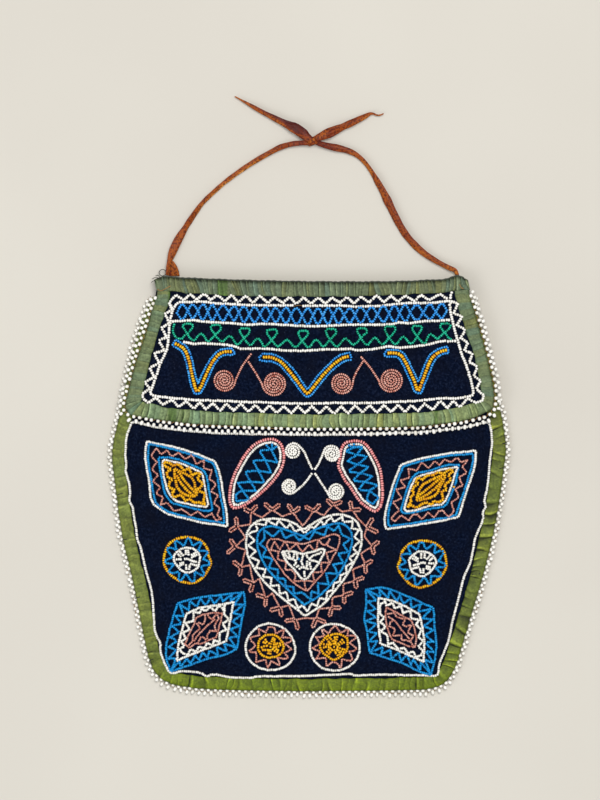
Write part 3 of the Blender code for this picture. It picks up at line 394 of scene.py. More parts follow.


# For each glass: its dark, usual and pale bead, the colour of the painted shade low on its sides and at its
# ends, and how strongly that shows
BEAD_COLOURS = {
    "white": ((0.76, 0.74, 0.67), (0.96, 0.955, 0.92), (0.98, 0.975, 0.95), (0.48, 0.45, 0.38), 0.22),
    "yellow": ((0.74, 0.30, 0.001), (0.99, 0.52, 0.001), (1.00, 0.66, 0.010), (0.28, 0.060, 0.002), 0.78),
    "royal": (
        (0.014, 0.170, 0.56), (0.028, 0.350, 0.94), (0.095, 0.500, 0.98), (0.006, 0.045, 0.22), 0.75,
    ),
    "cerulean": (
        (0.001, 0.175, 0.50), (0.001, 0.325, 0.80), (0.010, 0.450, 0.92), (0.001, 0.055, 0.19), 0.70,
    ),
    "green": (
        (0.002, 0.235, 0.125), (0.003, 0.480, 0.290), (0.024, 0.620, 0.410), (0.001, 0.075, 0.035), 0.75,
    ),
    "rose": (
        (0.44, 0.120, 0.085), (0.80, 0.375, 0.300), (0.94, 0.600, 0.520), (0.135, 0.010, 0.009), 0.92,
    ),
    "coral": (
        (0.76, 0.200, 0.195), (1.00, 0.410, 0.415), (1.00, 0.590, 0.590), (0.36, 0.026, 0.028), 0.80,
    ),
}


def bead_material(name):
    """Drawn glass: each bead has a tone of its own, with painted shade low on its sides and at its ends."""
    dark, usual, pale, low, strength = BEAD_COLOURS[name]
    shader = Shader(
        f"{name}_glass", IOR=1.5, Specular_IOR_Level=0.32, Coat_Weight=0.10, Coat_Roughness=0.12,
    )
    between_two = tuple(0.5 * (a + b) for a, b in zip(dark, usual))
    shades = [(0.0, dark), (0.18, between_two), (0.5, usual), (1.0, pale)]
    own = shader.ramp(shader.attribute("shade"), shades)
    # Painted shade: the glass darkens towards its shade colour low on the bead's sides, where its surface
    # faces away from the light, and at its ends where beads meet
    sides = shader.fit(shader.attribute("crown"), 0.25, 0.90, strength, 0.0)
    ends = shader.fit(shader.attribute("rim"), 0.0, 1.0, 0.0, 0.9 * strength)
    colour = shader.mix(shader.largest(sides, ends), own, low)
    return shader.paint(colour, shader.fit(shader.noise(700, 2, 0.5), 0.3, 0.7, 0.22, 0.38))


def silk_material():
    """The strap's rust silk: a fine slanting rib, with painted ochre highlights on its lit facets and painted
    shade in its folds.
    """
    shader = Shader("rust_silk", Specular_IOR_Level=0.16, Sheen_Weight=0.02, Sheen_Roughness=0.35)
    # Painted shade in the folds and painted ochre highlights on lit facets, from the strap's tone attribute
    tone = shader.ramp(shader.attribute("painted_shading"), SILK_SHADE_AND_HIGHLIGHT)
    rib = shader.add("TexWave", i_Scale=420.0, i_Distortion=2.5, i_Detail=1.0)
    shader.links.new(shader.place((1.0, 0.6, 1.0)), rib.inputs["Vector"])
    ribbed = shader.mix(shader.fit(rib.outputs["Fac"], 0.0, 1.0, 0.0, 0.36), tone, SILK_RIB)
    patches = shader.fit(shader.noise(260, 3, 0.6), 0.42, 0.72, 0.0, 0.35)
    specks = shader.fit(shader.noise(1150, 2, 0.55), 0.49, 0.58, 0.0, 0.78)
    colour = shader.mix(specks, shader.mix(patches, ribbed, SILK_PATCH), SILK_SPECK)
    shader.bump(shader.noise(2600, 2, 0.6), 0.3, 0.0002)
    return shader.paint(colour, shader.fit(shader.attribute("streak"), 0, 1, 0.55, 0.42))


def thread_material(name, colour):
    shader = Shader(name, Roughness=0.8)
    twist = shader.fit(shader.noise(3000, 2, 0.6), 0.3, 0.7, 0.0, 1.0)
    return shader.paint(shader.mix(twist, tuple(0.45 * level for level in colour), colour))


WOOL = wool_material()
OLIVE = ribbon_material(
    "olive_ribbon", ((0.120, 0.172, 0.004), (0.116, 0.150, 0.021), (0.146, 0.184, 0.034)),
)
SAGE = ribbon_material(
    "sage_ribbon", ((0.116, 0.153, 0.084), (0.126, 0.168, 0.080), (0.190, 0.258, 0.118)),
)
SILK = silk_material()
OCHRE_THREAD = thread_material("ochre_thread", (0.42, 0.23, 0.07))
DARK_THREAD = thread_material("dark_thread", (0.020, 0.024, 0.022))
FOLD_SHADE_DARK = thread_material("fold_shade_dark", (0.062, 0.078, 0.058))
BEAD_GLASS = {name: bead_material(name) for name in BEAD_COLOURS}


# Building meshes


def add_piece(name, places, faces, materials, nodes=(), face_slots=None, attributes=None):
    """Adds a mesh that rides on the pouch and stands for nodes of its solids."""
    mesh = bpy.data.meshes.new(name)
    faces = np.asarray(faces, np.int32)
    count, corners = faces.shape
    mesh.vertices.add(len(places))
    mesh.vertices.foreach_set("co", np.asarray(places, np.float32).ravel())
    mesh.loops.add(count * corners)
    mesh.loops.foreach_set("vertex_index", faces.ravel())
    mesh.polygons.add(count)
    mesh.polygons.foreach_set("loop_start", np.arange(0, count * corners, corners, dtype=np.int32))
    if face_slots is not None:
        mesh.polygons.foreach_set("material_index", np.asarray(face_slots, np.int32))
    mesh.update(calc_edges=True)
    mesh.shade_smooth()
    for key, values in (attributes or {}).items():
        layer = mesh.attributes.new(key, "FLOAT", "POINT")
        layer.data.foreach_set("value", np.asarray(values, np.float32))
    for material in materials:
        mesh.materials.append(material)
    piece = bpy.data.objects.new(name, mesh)
    bpy.context.collection.objects.link(piece)
    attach(piece, "root")
    if nodes:
        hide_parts(*nodes)
    return piece


def grid_faces(rows, columns, closed_rows=False, closed_columns=False, first=0):
    """Quads between the points of a grid."""
    row = np.arange(rows if closed_rows else rows - 1)
    column = np.arange(columns if closed_columns else columns - 1)
    row, column = (index.ravel() for index in np.meshgrid(row, column, indexing="ij"))
    here = row * columns
    following = (row + 1) % rows * columns
    beside = (column + 1) % columns
    return np.stack([here + column, here + beside, following + beside, following + column], 1) + first


def coons(left, right, top, bottom, rows, columns):
    """A grid of places inside four lines that meet at their ends: (rows, columns, 2)."""
    down = np.linspace(0, 1, rows)
    across = np.linspace(0, 1, columns)
    left = along(left, down)[:, None]
    right = along(right, down)[:, None]
    top = along(top, across)[None]
    bottom = along(bottom, across)[None]
    across = across[None, :, None]
    down = down[:, None, None]
    top_chord = top[:, :1] * (1 - across) + top[:, -1:] * across
    bottom_chord = bottom[:, :1] * (1 - across) + bottom[:, -1:] * across
    corners = top_chord * (1 - down) + bottom_chord * down
    return left * (1 - across) + right * across + top * (1 - down) + bottom * down - corners


def cloth_panel(name, grid, low, high, node):
    """A panel of wool with an upper face, a lower face and a rim."""
    rows, columns = grid.shape[:2]
    flat = grid.reshape(-1, 2)
    count = len(flat)
    upper = np.column_stack([flat, high(flat)])
    lower = np.column_stack([flat, low(flat)])
    rim = [(0, column) for column in range(columns)]
    rim += [(row, columns - 1) for row in range(1, rows)]
    rim += [(rows - 1, column) for column in range(columns - 2, -1, -1)]
    rim += [(row, 0) for row in range(rows - 2, 0, -1)]
    rim = np.array([row * columns + column for row, column in rim])
    after = np.roll(rim, -1)
    faces = np.vstack([
        grid_faces(rows, columns), grid_faces(rows, columns, first=count)[:, ::-1],
        np.stack([after, rim, rim + count, after + count], 1),
    ])
    if np.cross(grid[0, 1] - grid[0, 0], grid[1, 0] - grid[0, 0]) < 0:
        faces = faces[:, ::-1]
    return add_piece(name, np.vstack([upper, lower]), faces, [WOOL], [node])


def flap_edge(inset=0.0):
    """The flap's left, foot and right edges, each one line, moved inwards by an inset."""
    outer = [FLAP_LEFT_PX + FLAP_FOOT_PX[:1], FLAP_FOOT_PX + FLAP_RIGHT_PX[:1], FLAP_RIGHT_PX]
    inner = [HEM_LEFT_PX + HEM_FOOT_PX[:1], HEM_FOOT_PX + HEM_RIGHT_PX[:1], HEM_RIGHT_PX]
    depth = inset / (TRACED_HEM_PX * PX)
    shares = np.linspace(0, 1, 60)
    return [
        along(smooth(spot(edge)), shares) * (1 - depth) + along(smooth(spot(hem)), shares) * depth
        for edge, hem in zip(outer, inner)
    ]


def cut(line, first, last, count=200):
    return along(line, np.linspace(first, last, count))


def share_near(line, place):
    reach = lengths(line)
    return reach[np.argmin(np.linalg.norm(line - place, axis=1))] / reach[-1]


def declare_sheet(piece, flat=None):
    """Works out a cloth's flat size, from its mesh when none is given, but keeps nothing of it."""
    places = np.array([vertex.co for vertex in piece.data.vertices])
    flat = flat or tuple(float(size) for size in np.ptp(places, axis=0)[:2])


def make_panels():
    """The back, the front and the flap, each one panel of wool."""
    edge = BODY_EDGE + left_normals(BODY_EDGE) * PANEL_INSET
    first = share_near(edge, spot(LEFT_FOOT_PX))
    last = share_near(edge, spot(RIGHT_FOOT_PX))
    foot = cut(edge, first, last)
    top = cut(TOP_EDGE, 0.012, 0.988) + np.array([0, -PANEL_INSET])
    left = np.vstack([top[:1], cut(edge, 0, first)])
    right = np.vstack([top[-1:], cut(edge, 1, last)])
    grid = coons(left, right, top, foot, 70, 60)
    back = cloth_panel("wool_back", grid, back_bottom, back_top, "back_panel")

    mouth_level = along(TOP_EDGE, [0.5])[0, 1] - MOUTH_DEPTH
    shares = np.linspace(0, 1, 1501)
    below_mouth = np.flatnonzero(along(edge, shares)[:, 1] < mouth_level)
    left = cut(edge, shares[below_mouth[0]], first)
    right = cut(edge, shares[below_mouth[-1]], last)
    mouth = np.linspace(left[0], right[0], 200)
    grid = coons(left, right, mouth, foot, 120, 120)
    front = cloth_panel("wool_front", grid, front_bottom, front_top, "front_panel")

    hem = flap_edge(PANEL_INSET)
    left = np.vstack([top[:1], hem[0]])
    right = np.vstack([top[-1:], hem[2][::-1]])
    grid = coons(left, right, top, hem[1], 70, 140)
    flap = cloth_panel("wool_flap", grid, flap_bottom, flap_top, "flap_panel")
    return back, front, flap


# Ribbon bindings

# Each ribbon before it was gathered: what it lies on, its width and its length
RIBBONS = (
    ("front_panel", 13.5 * MM, 620 * MM), ("flap_panel", 12.5 * MM, 340 * MM),
    ("back_panel", 22.0 * MM, 190 * MM),
)
# Across a pleat: places from 0 to 1, with its height and its painted tone there, dark as painted shade in the
# crease and pale as painted highlight on the crest
PLEAT_HEIGHTS = ([0, 0.06, 0.20, 0.36, 0.75, 1], [-1, -0.3, 0.8, 1.0, 0.2, -0.6])
PLEAT_SHADING = (
    [0, 0.06, 0.14, 0.21, 0.28, 0.38, 0.7, 1], [0.0, 0.10, 0.50, 1.0, 0.85, 0.52, 0.42, 0.24],
)
# Where the lines of a ribbon lie between its hem at 0 and the edge at 1, above and below
UPPER_SHARES = (0.0, 0.03, 0.08, 0.15, 0.25, 0.36, 0.48, 0.60, 0.71, 0.81, 0.89, 0.95, 0.985, 1.0)
LOWER_SHARES = (0.99, 0.95, 0.85, 0.5, 0.1, 0.06)
BODY_RIBBON_ROWS = 2000
FLAP_RIBBON_ROWS = 1300
TOP_RIBBON_ROWS = 700


def pleats(reach, across, seed, gap, slant, calm=1.0, hues=0.18):
    """Pleats across a gathered ribbon: their height from -1 to 1, their painted tone (painted shade in the
    crease, painted highlight on the crest) and their hue from 0 to 1.
    """
    own = np.random.default_rng(seed)
    steps = gap * own.uniform(0.45, 1.6, int(reach[-1] / gap * 1.3) + 12)
    knots = np.cumsum(steps) - 6 * gap
    slow = np.arange(-0.01, reach[-1] + 0.02, 5 * MM)
    lean = np.interp(reach, slow, own.normal(0, slant, len(slow)))
    bow = np.interp(reach, slow, own.normal(0, 0.5, len(slow))) * MM
    place = reach + lean * (across - 0.5) + bow * math.sin(math.pi * across)
    index = np.clip(np.searchsorted(knots, place) - 1, 0, len(knots) - 2)
    share = (place - knots[index]) / (knots[index + 1] - knots[index])
    strength = own.uniform(0.45, 1.30, len(knots))[index]
    strongest_at = own.uniform(-0.5, 1.5, len(knots))[index]
    power = strength * np.clip(1.25 - 1.1 * np.abs(across - strongest_at), 0.2, 1.0) * calm
    height = power * np.interp(share, *PLEAT_HEIGHTS)
    # Painted light across each pleat: painted shade in its crease, painted highlight on its crest, each crest
    # with its own brightness
    bright = own.uniform(0.62, 1.0, len(knots))[index]
    tone = 0.47 + (np.interp(share, *PLEAT_SHADING) * bright - 0.40) * power
    own_hue = own.normal(0, 1, len(knots))[index]
    slow_hue = np.interp(reach, slow, own.normal(0, 1, len(slow)))
    hue = 0.5 + hues * own_hue + 0.4 * hues * slow_hue
    return height, np.clip(tone, 0, 1), np.clip(hue, 0, 1)


def facing(outer, hem):
    """For each place on an edge, the place on the hem that faces it, so that pleats fan round a corner."""
    window = 61  # places over which the fan is evened out
    hem = cut(hem, 0, 1, 1200)
    nearest = np.argmin(np.linalg.norm(outer[:, None] - hem[None], axis=2), axis=1) / (len(hem) - 1)
    nearest[0], nearest[-1] = 0.0, 1.0
    rising = np.pad(np.maximum.accumulate(nearest), window // 2, "edge")
    shares = np.convolve(rising, np.ones(window) / window, "valid")
    from_end = np.arange(len(shares)) / window
    shares = shares - shares[0] * (1 - ease(from_end)) + (1 - shares[-1]) * (1 - ease(from_end[::-1]))
    return along(hem, np.maximum.accumulate(np.clip(shares, 0, 1)))


def binding(
    name, node, material, outer, inner, low, high, edge_level, tint, seed, gap, puff, slant,
    fold_shade=0.0, calm=1.0, hues=0.18, fresh_px=(),
):
    """A gathered ribbon folded over an edge, from its upper hem round the edge to its lower hem."""
    reach = lengths(outer)
    own = np.random.default_rng(seed)
    hem_knots = np.arange(0, reach[-1] + 0.01, 2.2 * MM)
    hem_wave = np.interp(reach, hem_knots, own.normal(0, 0.025, len(hem_knots)))
    swell = outer - inner
    swell = swell / np.linalg.norm(swell, axis=1)[:, None]
    rings = []
    painted_shadings = []
    streaks = []
    for share in UPPER_SHARES:
        blend = (share + hem_wave * (1 - share))[:, None]
        places = inner * (1 - blend) + outer * blend
        height, tone, hue = pleats(reach, share, seed, gap, slant, calm, hues)
        body = math.sin(math.pi * min(1.0, 0.08 + share * 0.5 / 0.55)) if share < 0.5 else 1.0
        lift = 0.12 * MM + 0.42 * MM * min(1.0, (share / 0.12) ** 0.6) + 0.10 * MM * body
        arch = 0.35 + 0.65 * math.sin(math.pi * min(1, share * 1.05))
        edge_drop = max(0.0, (share - 0.84) / 0.16)
        fall = edge_drop ** 2.2
        z = (high(places) + lift + height * puff * arch) * (1 - fall) + edge_level(places) * fall
        places = places + swell * (height * puff * 0.8 * edge_drop)[:, None]
        rings.append(np.column_stack([places, z]))
        # Painted shade: a dark line at the inner hem, darker where the ribbon turns over its outer edge, and,
        # where asked, more painted shade over the top of the fold
        shade = 0.24 * (share < 0.02) + 0.12 * (share > 0.9) + fold_shade * ease((share - 0.66) / 0.20)
        painted_shadings.append(np.clip(tone - shade, 0, 1))
        streaks.append(hue)
    for share in LOWER_SHARES:
        places = inner * (1 - share) + outer * share
        fall = min(1.0, (1.0 - share) / 0.15) ** 0.5
        rings.append(np.column_stack([places, edge_level(places) * (1 - fall) + low(places) * fall]))
        height, _, hue = pleats(reach, share, seed + 1, gap, slant)
        # Painted light on the underside: higher pleats lighter, lower ones darker
        painted_shadings.append(np.clip(0.4 + 0.3 * height, 0, 1))
        streaks.append(hue)
    columns = len(rings)
    places = np.stack(rings, 1).reshape(-1, 3)
    faces = grid_faces(len(outer), columns, closed_columns=True)
    fresh = np.zeros(len(places))
    for middle, half in fresh_px:
        away_px = np.abs(places[:, 0] - (middle - CENTRE_PX[0]) * PX) / PX
        fresh = np.maximum(fresh, ease((half - away_px) / 2.5))
    attributes = {
        "painted_shading": np.stack(painted_shadings, 1).ravel(), "streak": np.stack(streaks, 1).ravel(),
        "tint": np.repeat(tint, columns), "fresh": 0.85 * fresh,
    }
    return add_piece(name, places, faces, [material], [node], attributes=attributes)


def level_at(level):
    """A flat surface at one level."""
    return lambda places: np.full(len(places), level)


def under_flap(places):
    """The level of the flap ribbon's lower hem."""
    return flap_bottom(places) - CLEAR - HEM_EASE * 0.5


def flap_rim(places):
    """The level at which the flap's ribbon turns round its edge."""
    return flap_bottom(places) + 0.3 * MM


def make_bindings():
    """The ribbons round the body, round the flap and over the top fold."""
    share = np.linspace(0, 1, BODY_RIBBON_ROWS)
    outer = cut(BODY_EDGE, 0, 1, BODY_RIBBON_ROWS)
    wander = np.interp(share, np.linspace(0, 1, 60), dice.normal(0, 1, 60))
    inner = outer + left_normals(outer) * (13.0 * PX + 0.35 * PX * wander)[:, None]
    body = binding(
        "ribbon_body", "body_binding", OLIVE, outer, inner,
        low=level_at(0.0), high=front_top, edge_level=level_at(2.1 * MM),
        tint=np.interp(share, [0, 0.30, 0.38, 0.62, 0.70, 1], [1, 1, 0, 0, 0.5, 0.5]),
        seed=11, gap=4.6 * MM, puff=0.16 * MM, slant=1.6 * MM,
        calm=np.interp(share, [0.3, 0.36, 0.62, 0.7], [0.65, 1.20, 1.20, 1.80]), hues=0.06,
    )

    share = np.linspace(0, 1, FLAP_RIBBON_ROWS)
    sides = flap_edge()
    hems = flap_edge(13.4 * PX)
    outer = cut(np.vstack([sides[0], sides[1][1:], sides[2][1:]]), 0, 1, FLAP_RIBBON_ROWS)
    inner = facing(outer, np.vstack([hems[0], hems[1][1:], hems[2][1:]]))
    tint = np.interp(share, [0, 0.19, 0.24, 0.76, 0.81, 1], [0.5, 0.5, 1, 1, 0.5, 0.5])
    flap = binding(
        "ribbon_flap", "flap_binding", SAGE, outer, inner,
        low=under_flap, high=flap_top, edge_level=flap_rim, tint=tint,
        seed=23, gap=2.3 * MM, puff=0.22 * MM, slant=0.45 * MM,
        calm=0.55 + 0.70 * np.clip(2 * tint - 1, 0, 1), fresh_px=((172.5, 5.5), (183, 2.0), (436, 3.0)),
    )

    outer = cut(TOP_EDGE, 0, 1, TOP_RIBBON_ROWS)
    inner = cut(smooth(spot(TOP_HEM_PX)), 0, 1, TOP_RIBBON_ROWS)
    # The top ribbon gets extra painted shade over the top of its fold
    top = binding(
        "ribbon_top", "top_binding", SAGE, outer, inner,
        low=level_at(0.0), high=flap_top, edge_level=level_at(5.0 * MM), tint=np.zeros(TOP_RIBBON_ROWS),
        seed=37, gap=1.9 * MM, puff=0.22 * MM, slant=1.2 * MM, fold_shade=0.32, calm=1.25, hues=0.24,
        fresh_px=((222.5, 6.5),),
    )
    return body, flap, top


# Beads

BEAD_SIDES = 8
# A bead's rings: how far along it, how wide, and how much of the painted shade at the bead's ends each has
BEAD_RINGS = (
    (-0.98, 0.40, 1.0), (-0.74, 0.84, 0.30), (0.0, 1.0, 0.0), (0.74, 0.84, 0.30), (0.98, 0.40, 1.0),
)
# Each kind of bead: its glass, its width and its step in pixels, and how much of the step it fills
KINDS = {
    "white": ("white", 2.75, 1.95, 0.96),
    "big_white": ("white", 3.10, 2.40, 0.94),
    "picot": ("white", 3.90, 3.6, 0.97),
    "yellow": ("yellow", 2.95, 2.20, 0.88),
    "royal": ("royal", 2.90, 2.30, 0.90),
    "cerulean": ("cerulean", 2.80, 1.95, 0.94),
    "green": ("green", 2.75, 2.00, 0.92),
    "rose": ("rose", 2.25, 1.90, 0.90),
    "coral": ("coral", 3.50, 2.40, 0.84),
    "big_yellow": ("yellow", 3.9, 2.55, 0.90),
    "scroll_rose": ("rose", 2.52, 1.95, 0.90),
}
# White rows that are a little finer than the rest
SLIM_PX = 2.6
# The share of beads that are dark ones, and their shade
STRAY_SHARE = 0.03
STRAY_SHADE = 0.05
# Beads are looked up by square cells, and a bead that crosses others is raised by this much at most
CELL_PX = 4
CELLS_AROUND = [(column, row) for column in (-1, 0, 1) for row in (-1, 0, 1)]
MOST_RAISED = 1.1 * MM


class Beadwork:
    """The beads of one node, laid one by one on a surface that they share with other nodes."""

    laid = {}

    def __init__(self, name, node, slot, surface=front_top):
        self.name = name
        self.node = node
        self.slot = slot
        self.surface = surface
        self.rows = []
        Beadwork.laid.setdefault(surface, {})

    def row(self, path, kind, closed=False, pitch=None, width=None, lift=0.0, wobble=0.16, loose=0.05):
        """Lays beads along a path in pixels."""
        glass, usual_width, usual_pitch, fill = KINDS[kind]
        path = np.asarray(path, float)
        if closed:
            path = np.vstack([path, path[:1]])
        reach = lengths(path)[-1]
        count = max(1, round(reach / (pitch or usual_pitch)))
        shares = (np.arange(count) + (0.0 if closed else 0.5)) / count
        shares = np.clip(shares + dice.normal(0, loose, count) / count, 0, 1)
        middle = along(path, shares)
        nudge = 0.8 / max(reach, 1)
        heading = along(path, np.clip(shares + nudge, 0, 1)) - along(path, np.clip(shares - nudge, 0, 1))
        heading = heading / (np.linalg.norm(heading, axis=1)[:, None] + TINY_PX)
        side = np.stack([-heading[:, 1], heading[:, 0]], 1)
        knots = np.arange(0, count + 9, 8)
        sway = np.interp(np.arange(count), knots, dice.normal(0, 1.4 * wobble, len(knots)))
        middle = middle + side * (sway + dice.normal(0, wobble, count))[:, None]
        radius = 0.5 * (width or usual_width) * PX * (1 + dice.normal(0, 0.045, count))
        half = 0.5 * reach / count * PX * fill * (1 + dice.normal(0, 0.05, count))
        angle = np.arctan2(-heading[:, 1], heading[:, 0]) + dice.normal(0, 0.07, count)
        height = self.surface(spot(middle)) + radius * 0.96 + lift
        self.settle(middle, height, radius)
        shade = np.clip(0.5 + dice.normal(0, 0.17, count), 0, 1)
        shade[dice.random(count) < STRAY_SHARE] = STRAY_SHADE
        self.rows.append((np.column_stack([spot(middle), height]), angle, radius, half, shade, glass))

    def settle(self, middle, height, radius):
        """Raises the beads of a row where they cross beads that lie on the surface already."""
        table = Beadwork.laid[self.surface]
        cells = [(int(x // CELL_PX), int(y // CELL_PX)) for x, y in middle]
        highest = height + MOST_RAISED
        for i, (x, y) in enumerate(middle):
            for column, row in CELLS_AROUND:
                for other in table.get((cells[i][0] + column, cells[i][1] + row), ()):
                    apart = math.hypot(x - other[0], y - other[1]) * PX
                    both = (radius[i] + other[3]) * 0.84
                    if apart < both:
                        over = other[2] + math.sqrt(both * both - apart * apart) * 0.8
                        height[i] = max(height[i], min(over, highest[i]))
        for i, (x, y) in enumerate(middle):
            table.setdefault(cells[i], []).append((x, y, height[i], radius[i]))

    def bead(self, place, kind, heading=(1, 0), width=None, length=None, lift=0.0):
        """Lays one bead."""
        heading = np.asarray(heading, float)
        heading /= np.linalg.norm(heading)
        length = length or KINDS[kind][2]
        place = np.asarray(place)
        ends = np.array([place - heading * length / 2, place + heading * length / 2])
        self.row(ends, kind, pitch=length, width=width, lift=lift, wobble=0.0)

    def build(self):
        """Makes one mesh of all the beads that were laid."""
        places, angle, radius, half, shade = (
            np.concatenate([row[k] for row in self.rows]) for k in range(5)
        )
        glasses = sorted({row[5] for row in self.rows})
        tint = np.concatenate([np.full(len(row[0]), glasses.index(row[5])) for row in self.rows])
        count = len(places)
        roll = dice.uniform(0, math.pi, count)
        tilt = dice.normal(0, 0.06, count)
        turn = (2 * math.pi * np.arange(BEAD_SIDES) / BEAD_SIDES)[None] + roll[:, None]
        axis = np.stack([np.cos(angle) * np.cos(tilt), np.sin(angle) * np.cos(tilt), np.sin(tilt)], 1)
        side = np.stack([-np.sin(angle), np.cos(angle), np.zeros(count)], 1)
        up = np.cross(axis, side)
        spoke = side[:, None] * np.cos(turn)[..., None] + up[:, None] * np.sin(turn)[..., None]
        rings = []
        end_shades = []
        for depth, reach, rim in BEAD_RINGS:
            middle = places[:, None] + axis[:, None] * (half * depth)[:, None, None]
            rings.append(middle + spoke * (radius * reach)[:, None, None])
            end_shades.append(np.full((count, BEAD_SIDES), rim))
        # How far each point of a bead faces up, which sets the painted shade on its sides
        crowns = [spoke[..., 2]] * len(BEAD_RINGS)
        one = grid_faces(len(BEAD_RINGS), BEAD_SIDES, closed_columns=True)[:, ::-1]
        per_bead = len(BEAD_RINGS) * BEAD_SIDES
        faces = (one[None] + (np.arange(count) * per_bead)[:, None, None]).reshape(-1, 4)
        attributes = {
            "shade": np.repeat(shade, per_bead), "rim": np.stack(end_shades, 1).ravel(),
            "crown": np.stack(crowns, 1).ravel(),
        }
        add_piece(
            self.name, np.stack(rings, 1).reshape(-1, 3), faces, [BEAD_GLASS[glass] for glass in glasses],
            [self.node], np.repeat(tint, len(one)), attributes,
        )


def straight(points, round_px=0.5):
    """A path of straight runs whose corners are slightly rounded."""
    points = np.asarray(points, float)
    path = [points[0]]
    for before, corner, after in zip(points, points[1:], points[2:]):
        for other in (before, after):
            run = np.linalg.norm(other - corner)
            path.append(corner + (other - corner) / run * min(round_px, run * 0.3))
    path.append(points[-1])
    return np.array(path)


def offset(path, distance, closed=True, keep=0.93):
    """A path beside another, to its left in the picture's own axes, without the loops at its corners."""
    ring = np.vstack([path[-1:], path, path[:1]]) if closed else path
    ahead = np.gradient(ring, axis=0)
    ahead /= np.linalg.norm(ahead, axis=1)[:, None] + TINY_PX
    moved = ring + np.stack([ahead[:, 1], -ahead[:, 0]], 1) * distance
    if closed:
        moved = moved[1:-1]
        line = np.vstack([path, path[:1]])
    else:
        line = path
    return moved[distance_to(line, moved) > abs(distance) * keep]


class Outline:
    """A closed outline made of smooth sides that meet at corners."""

    def __init__(self, sides):
        self.sides = [
            smooth(list(side) + [sides[(i + 1) % len(sides)][0]]) for i, side in enumerate(sides)
        ]

    def at(self, side, share):
        return along(self.sides[side], [share])[0]


def teeth(apexes, line, gap):
    """A closed zigzag from its inner points out to a line, stopping a gap short of it."""
    apexes = np.array(apexes, float)
    points = []
    for apex, following in zip(apexes, np.roll(apexes, -1, axis=0)):
        middle = (apex + following) / 2
        nearest = line[np.argmin(np.linalg.norm(line - middle, axis=1))]
        reach = nearest - middle
        points += [apex, nearest - reach / np.linalg.norm(reach) * gap]
    return straight(np.vstack([points, points[:1]]))


def looped(points, round_px=0.5):
    """A closed path of straight runs."""
    return straight(list(points) + list(points[:1]), round_px)


def between(outer, inner, side, share, depth):
    """A place at a depth between two outlines, at a share of one of their sides."""
    return outer.at(side, share) * (1 - depth) + inner.at(side, share) * depth


def ring(outer, inner, depth, per_side=14):
    """A closed path at a depth between two outlines."""
    return np.array([
        between(outer, inner, side, step / per_side, depth)
        for side in range(len(outer.sides)) for step in range(per_side)
    ])


def zigzag(outer, inner, from_depth, to_depth, counts, jitter=0.35, start=0.0):
    """A closed zigzag between two depths."""
    points = []
    for side, count in enumerate(counts):
        for step in range(count):
            points.append(between(outer, inner, side, (step + start) / count, from_depth))
            points.append(between(outer, inner, side, (step + start + 0.5) / count, to_depth))
    points = np.array(points)
    points += dice.normal(0, jitter, points.shape)
    return straight(np.vstack([points, points[:1]]))


def width_between(outer, inner):
    """The mean width of the strip between two outlines."""
    gaps = [
        np.linalg.norm(outer.at(side, share) - inner.at(side, share))
        for side in range(len(outer.sides)) for share in (0.3, 0.5, 0.7)
    ]
    return sum(gaps) / len(gaps)


def circle(centre, radius_x, radius_y, count=48, wobble=0.0):
    """A slightly uneven round path."""
    turn = 2 * math.pi * np.arange(count) / count
    reach = 1 + wobble * np.sin(turn * 3 + centre[0]) + wobble * np.sin(turn * 2 + centre[1])
    x = centre[0] + radius_x * reach * np.cos(turn)
    y = centre[1] + radius_y * reach * np.sin(turn)
    return np.stack([x, y], 1)


def spiral(centre, radius, turns, start_degrees, sense, step):
    """A path wound inwards from its outer end, in the picture's own axes."""
    turn = np.arange(0, turns * 2 * math.pi, 0.12)
    angle = math.radians(start_degrees) + sense * turn
    reach = np.maximum(radius - step * turn / (2 * math.pi), 0.2)
    return np.stack([centre[0] + reach * np.cos(angle), centre[1] + reach * np.sin(angle)], 1)


def sideways(vector):
    """A vector turned by a quarter."""
    return np.array([-vector[1], vector[0]])


def towards(start, end):
    """The unit vector from one place to another."""
    step = np.asarray(end, float) - start
    return step / np.linalg.norm(step)


def height_at(line, x):
    """The pixel height of a line at a pixel column."""
    return np.interp(x, line[:, 0], line[:, 1])


# Flap embroidery

TOP_LINE_PX = [
    (168, 303), (190, 302.5), (215, 303.3), (250, 305.2), (300, 306), (350, 306.2), (400, 303.8),
    (449, 301.5),
]
FRAME_LINE_PX = [
    (302, 306), (320, 306), (340, 306), (355, 307), (367, 306.5), (380, 306), (400, 303.8), (415, 303),
    (430, 303.2), (441, 302), (450, 301.5), (449.5, 306), (451, 315), (453.3, 325), (456, 335), (459, 345),
    (462, 355), (466, 363.5), (469, 373), (471.5, 383), (473, 394), (465, 397), (455, 398.3), (445, 398),
    (435, 399), (415, 401), (390, 402), (350, 403), (300, 403.5), (260, 402.5), (230, 401.3), (200, 399.8),
    (180, 398.5), (165, 396.8), (151, 394), (153.5, 384), (157, 373.5), (161, 362.5), (167, 349),
    (169, 337), (170.3, 326), (172, 315), (174.5, 307.5), (179, 303), (190, 302.5), (200, 301.8),
    (215, 303.3), (230, 304), (250, 305.2), (270, 306), (294, 306),
]
TOP_APEX_X = [
    176, 190, 204, 217, 232, 246, 260, 274.5, 290, 303.5, 318.5, 332, 347, 361, 376, 391, 405, 421, 440,
]
TOP_FOOT_X = [
    184, 197, 211, 225, 238, 253, 268, 283, 296, 311, 326, 340, 354, 369, 384, 398, 414, 429, 447.5,
]
RIM_TOP_PX = [
    (168, 295.5), (200, 294.5), (240, 295.5), (300, 297.5), (350, 297.5), (400, 295.2), (440, 294.5),
    (452, 293),
]
LEFT_TEETH_PX = [
    (173, 309), (169, 302), (172, 310), (165, 314.5), (170, 323), (161.5, 328), (167.5, 338), (159.5, 341),
    (165, 350.5), (154.5, 354), (160, 363), (150, 368), (154.5, 377.5), (145, 382.5), (150.5, 388.5),
    (142, 394), (144, 399.5), (149, 403),
]
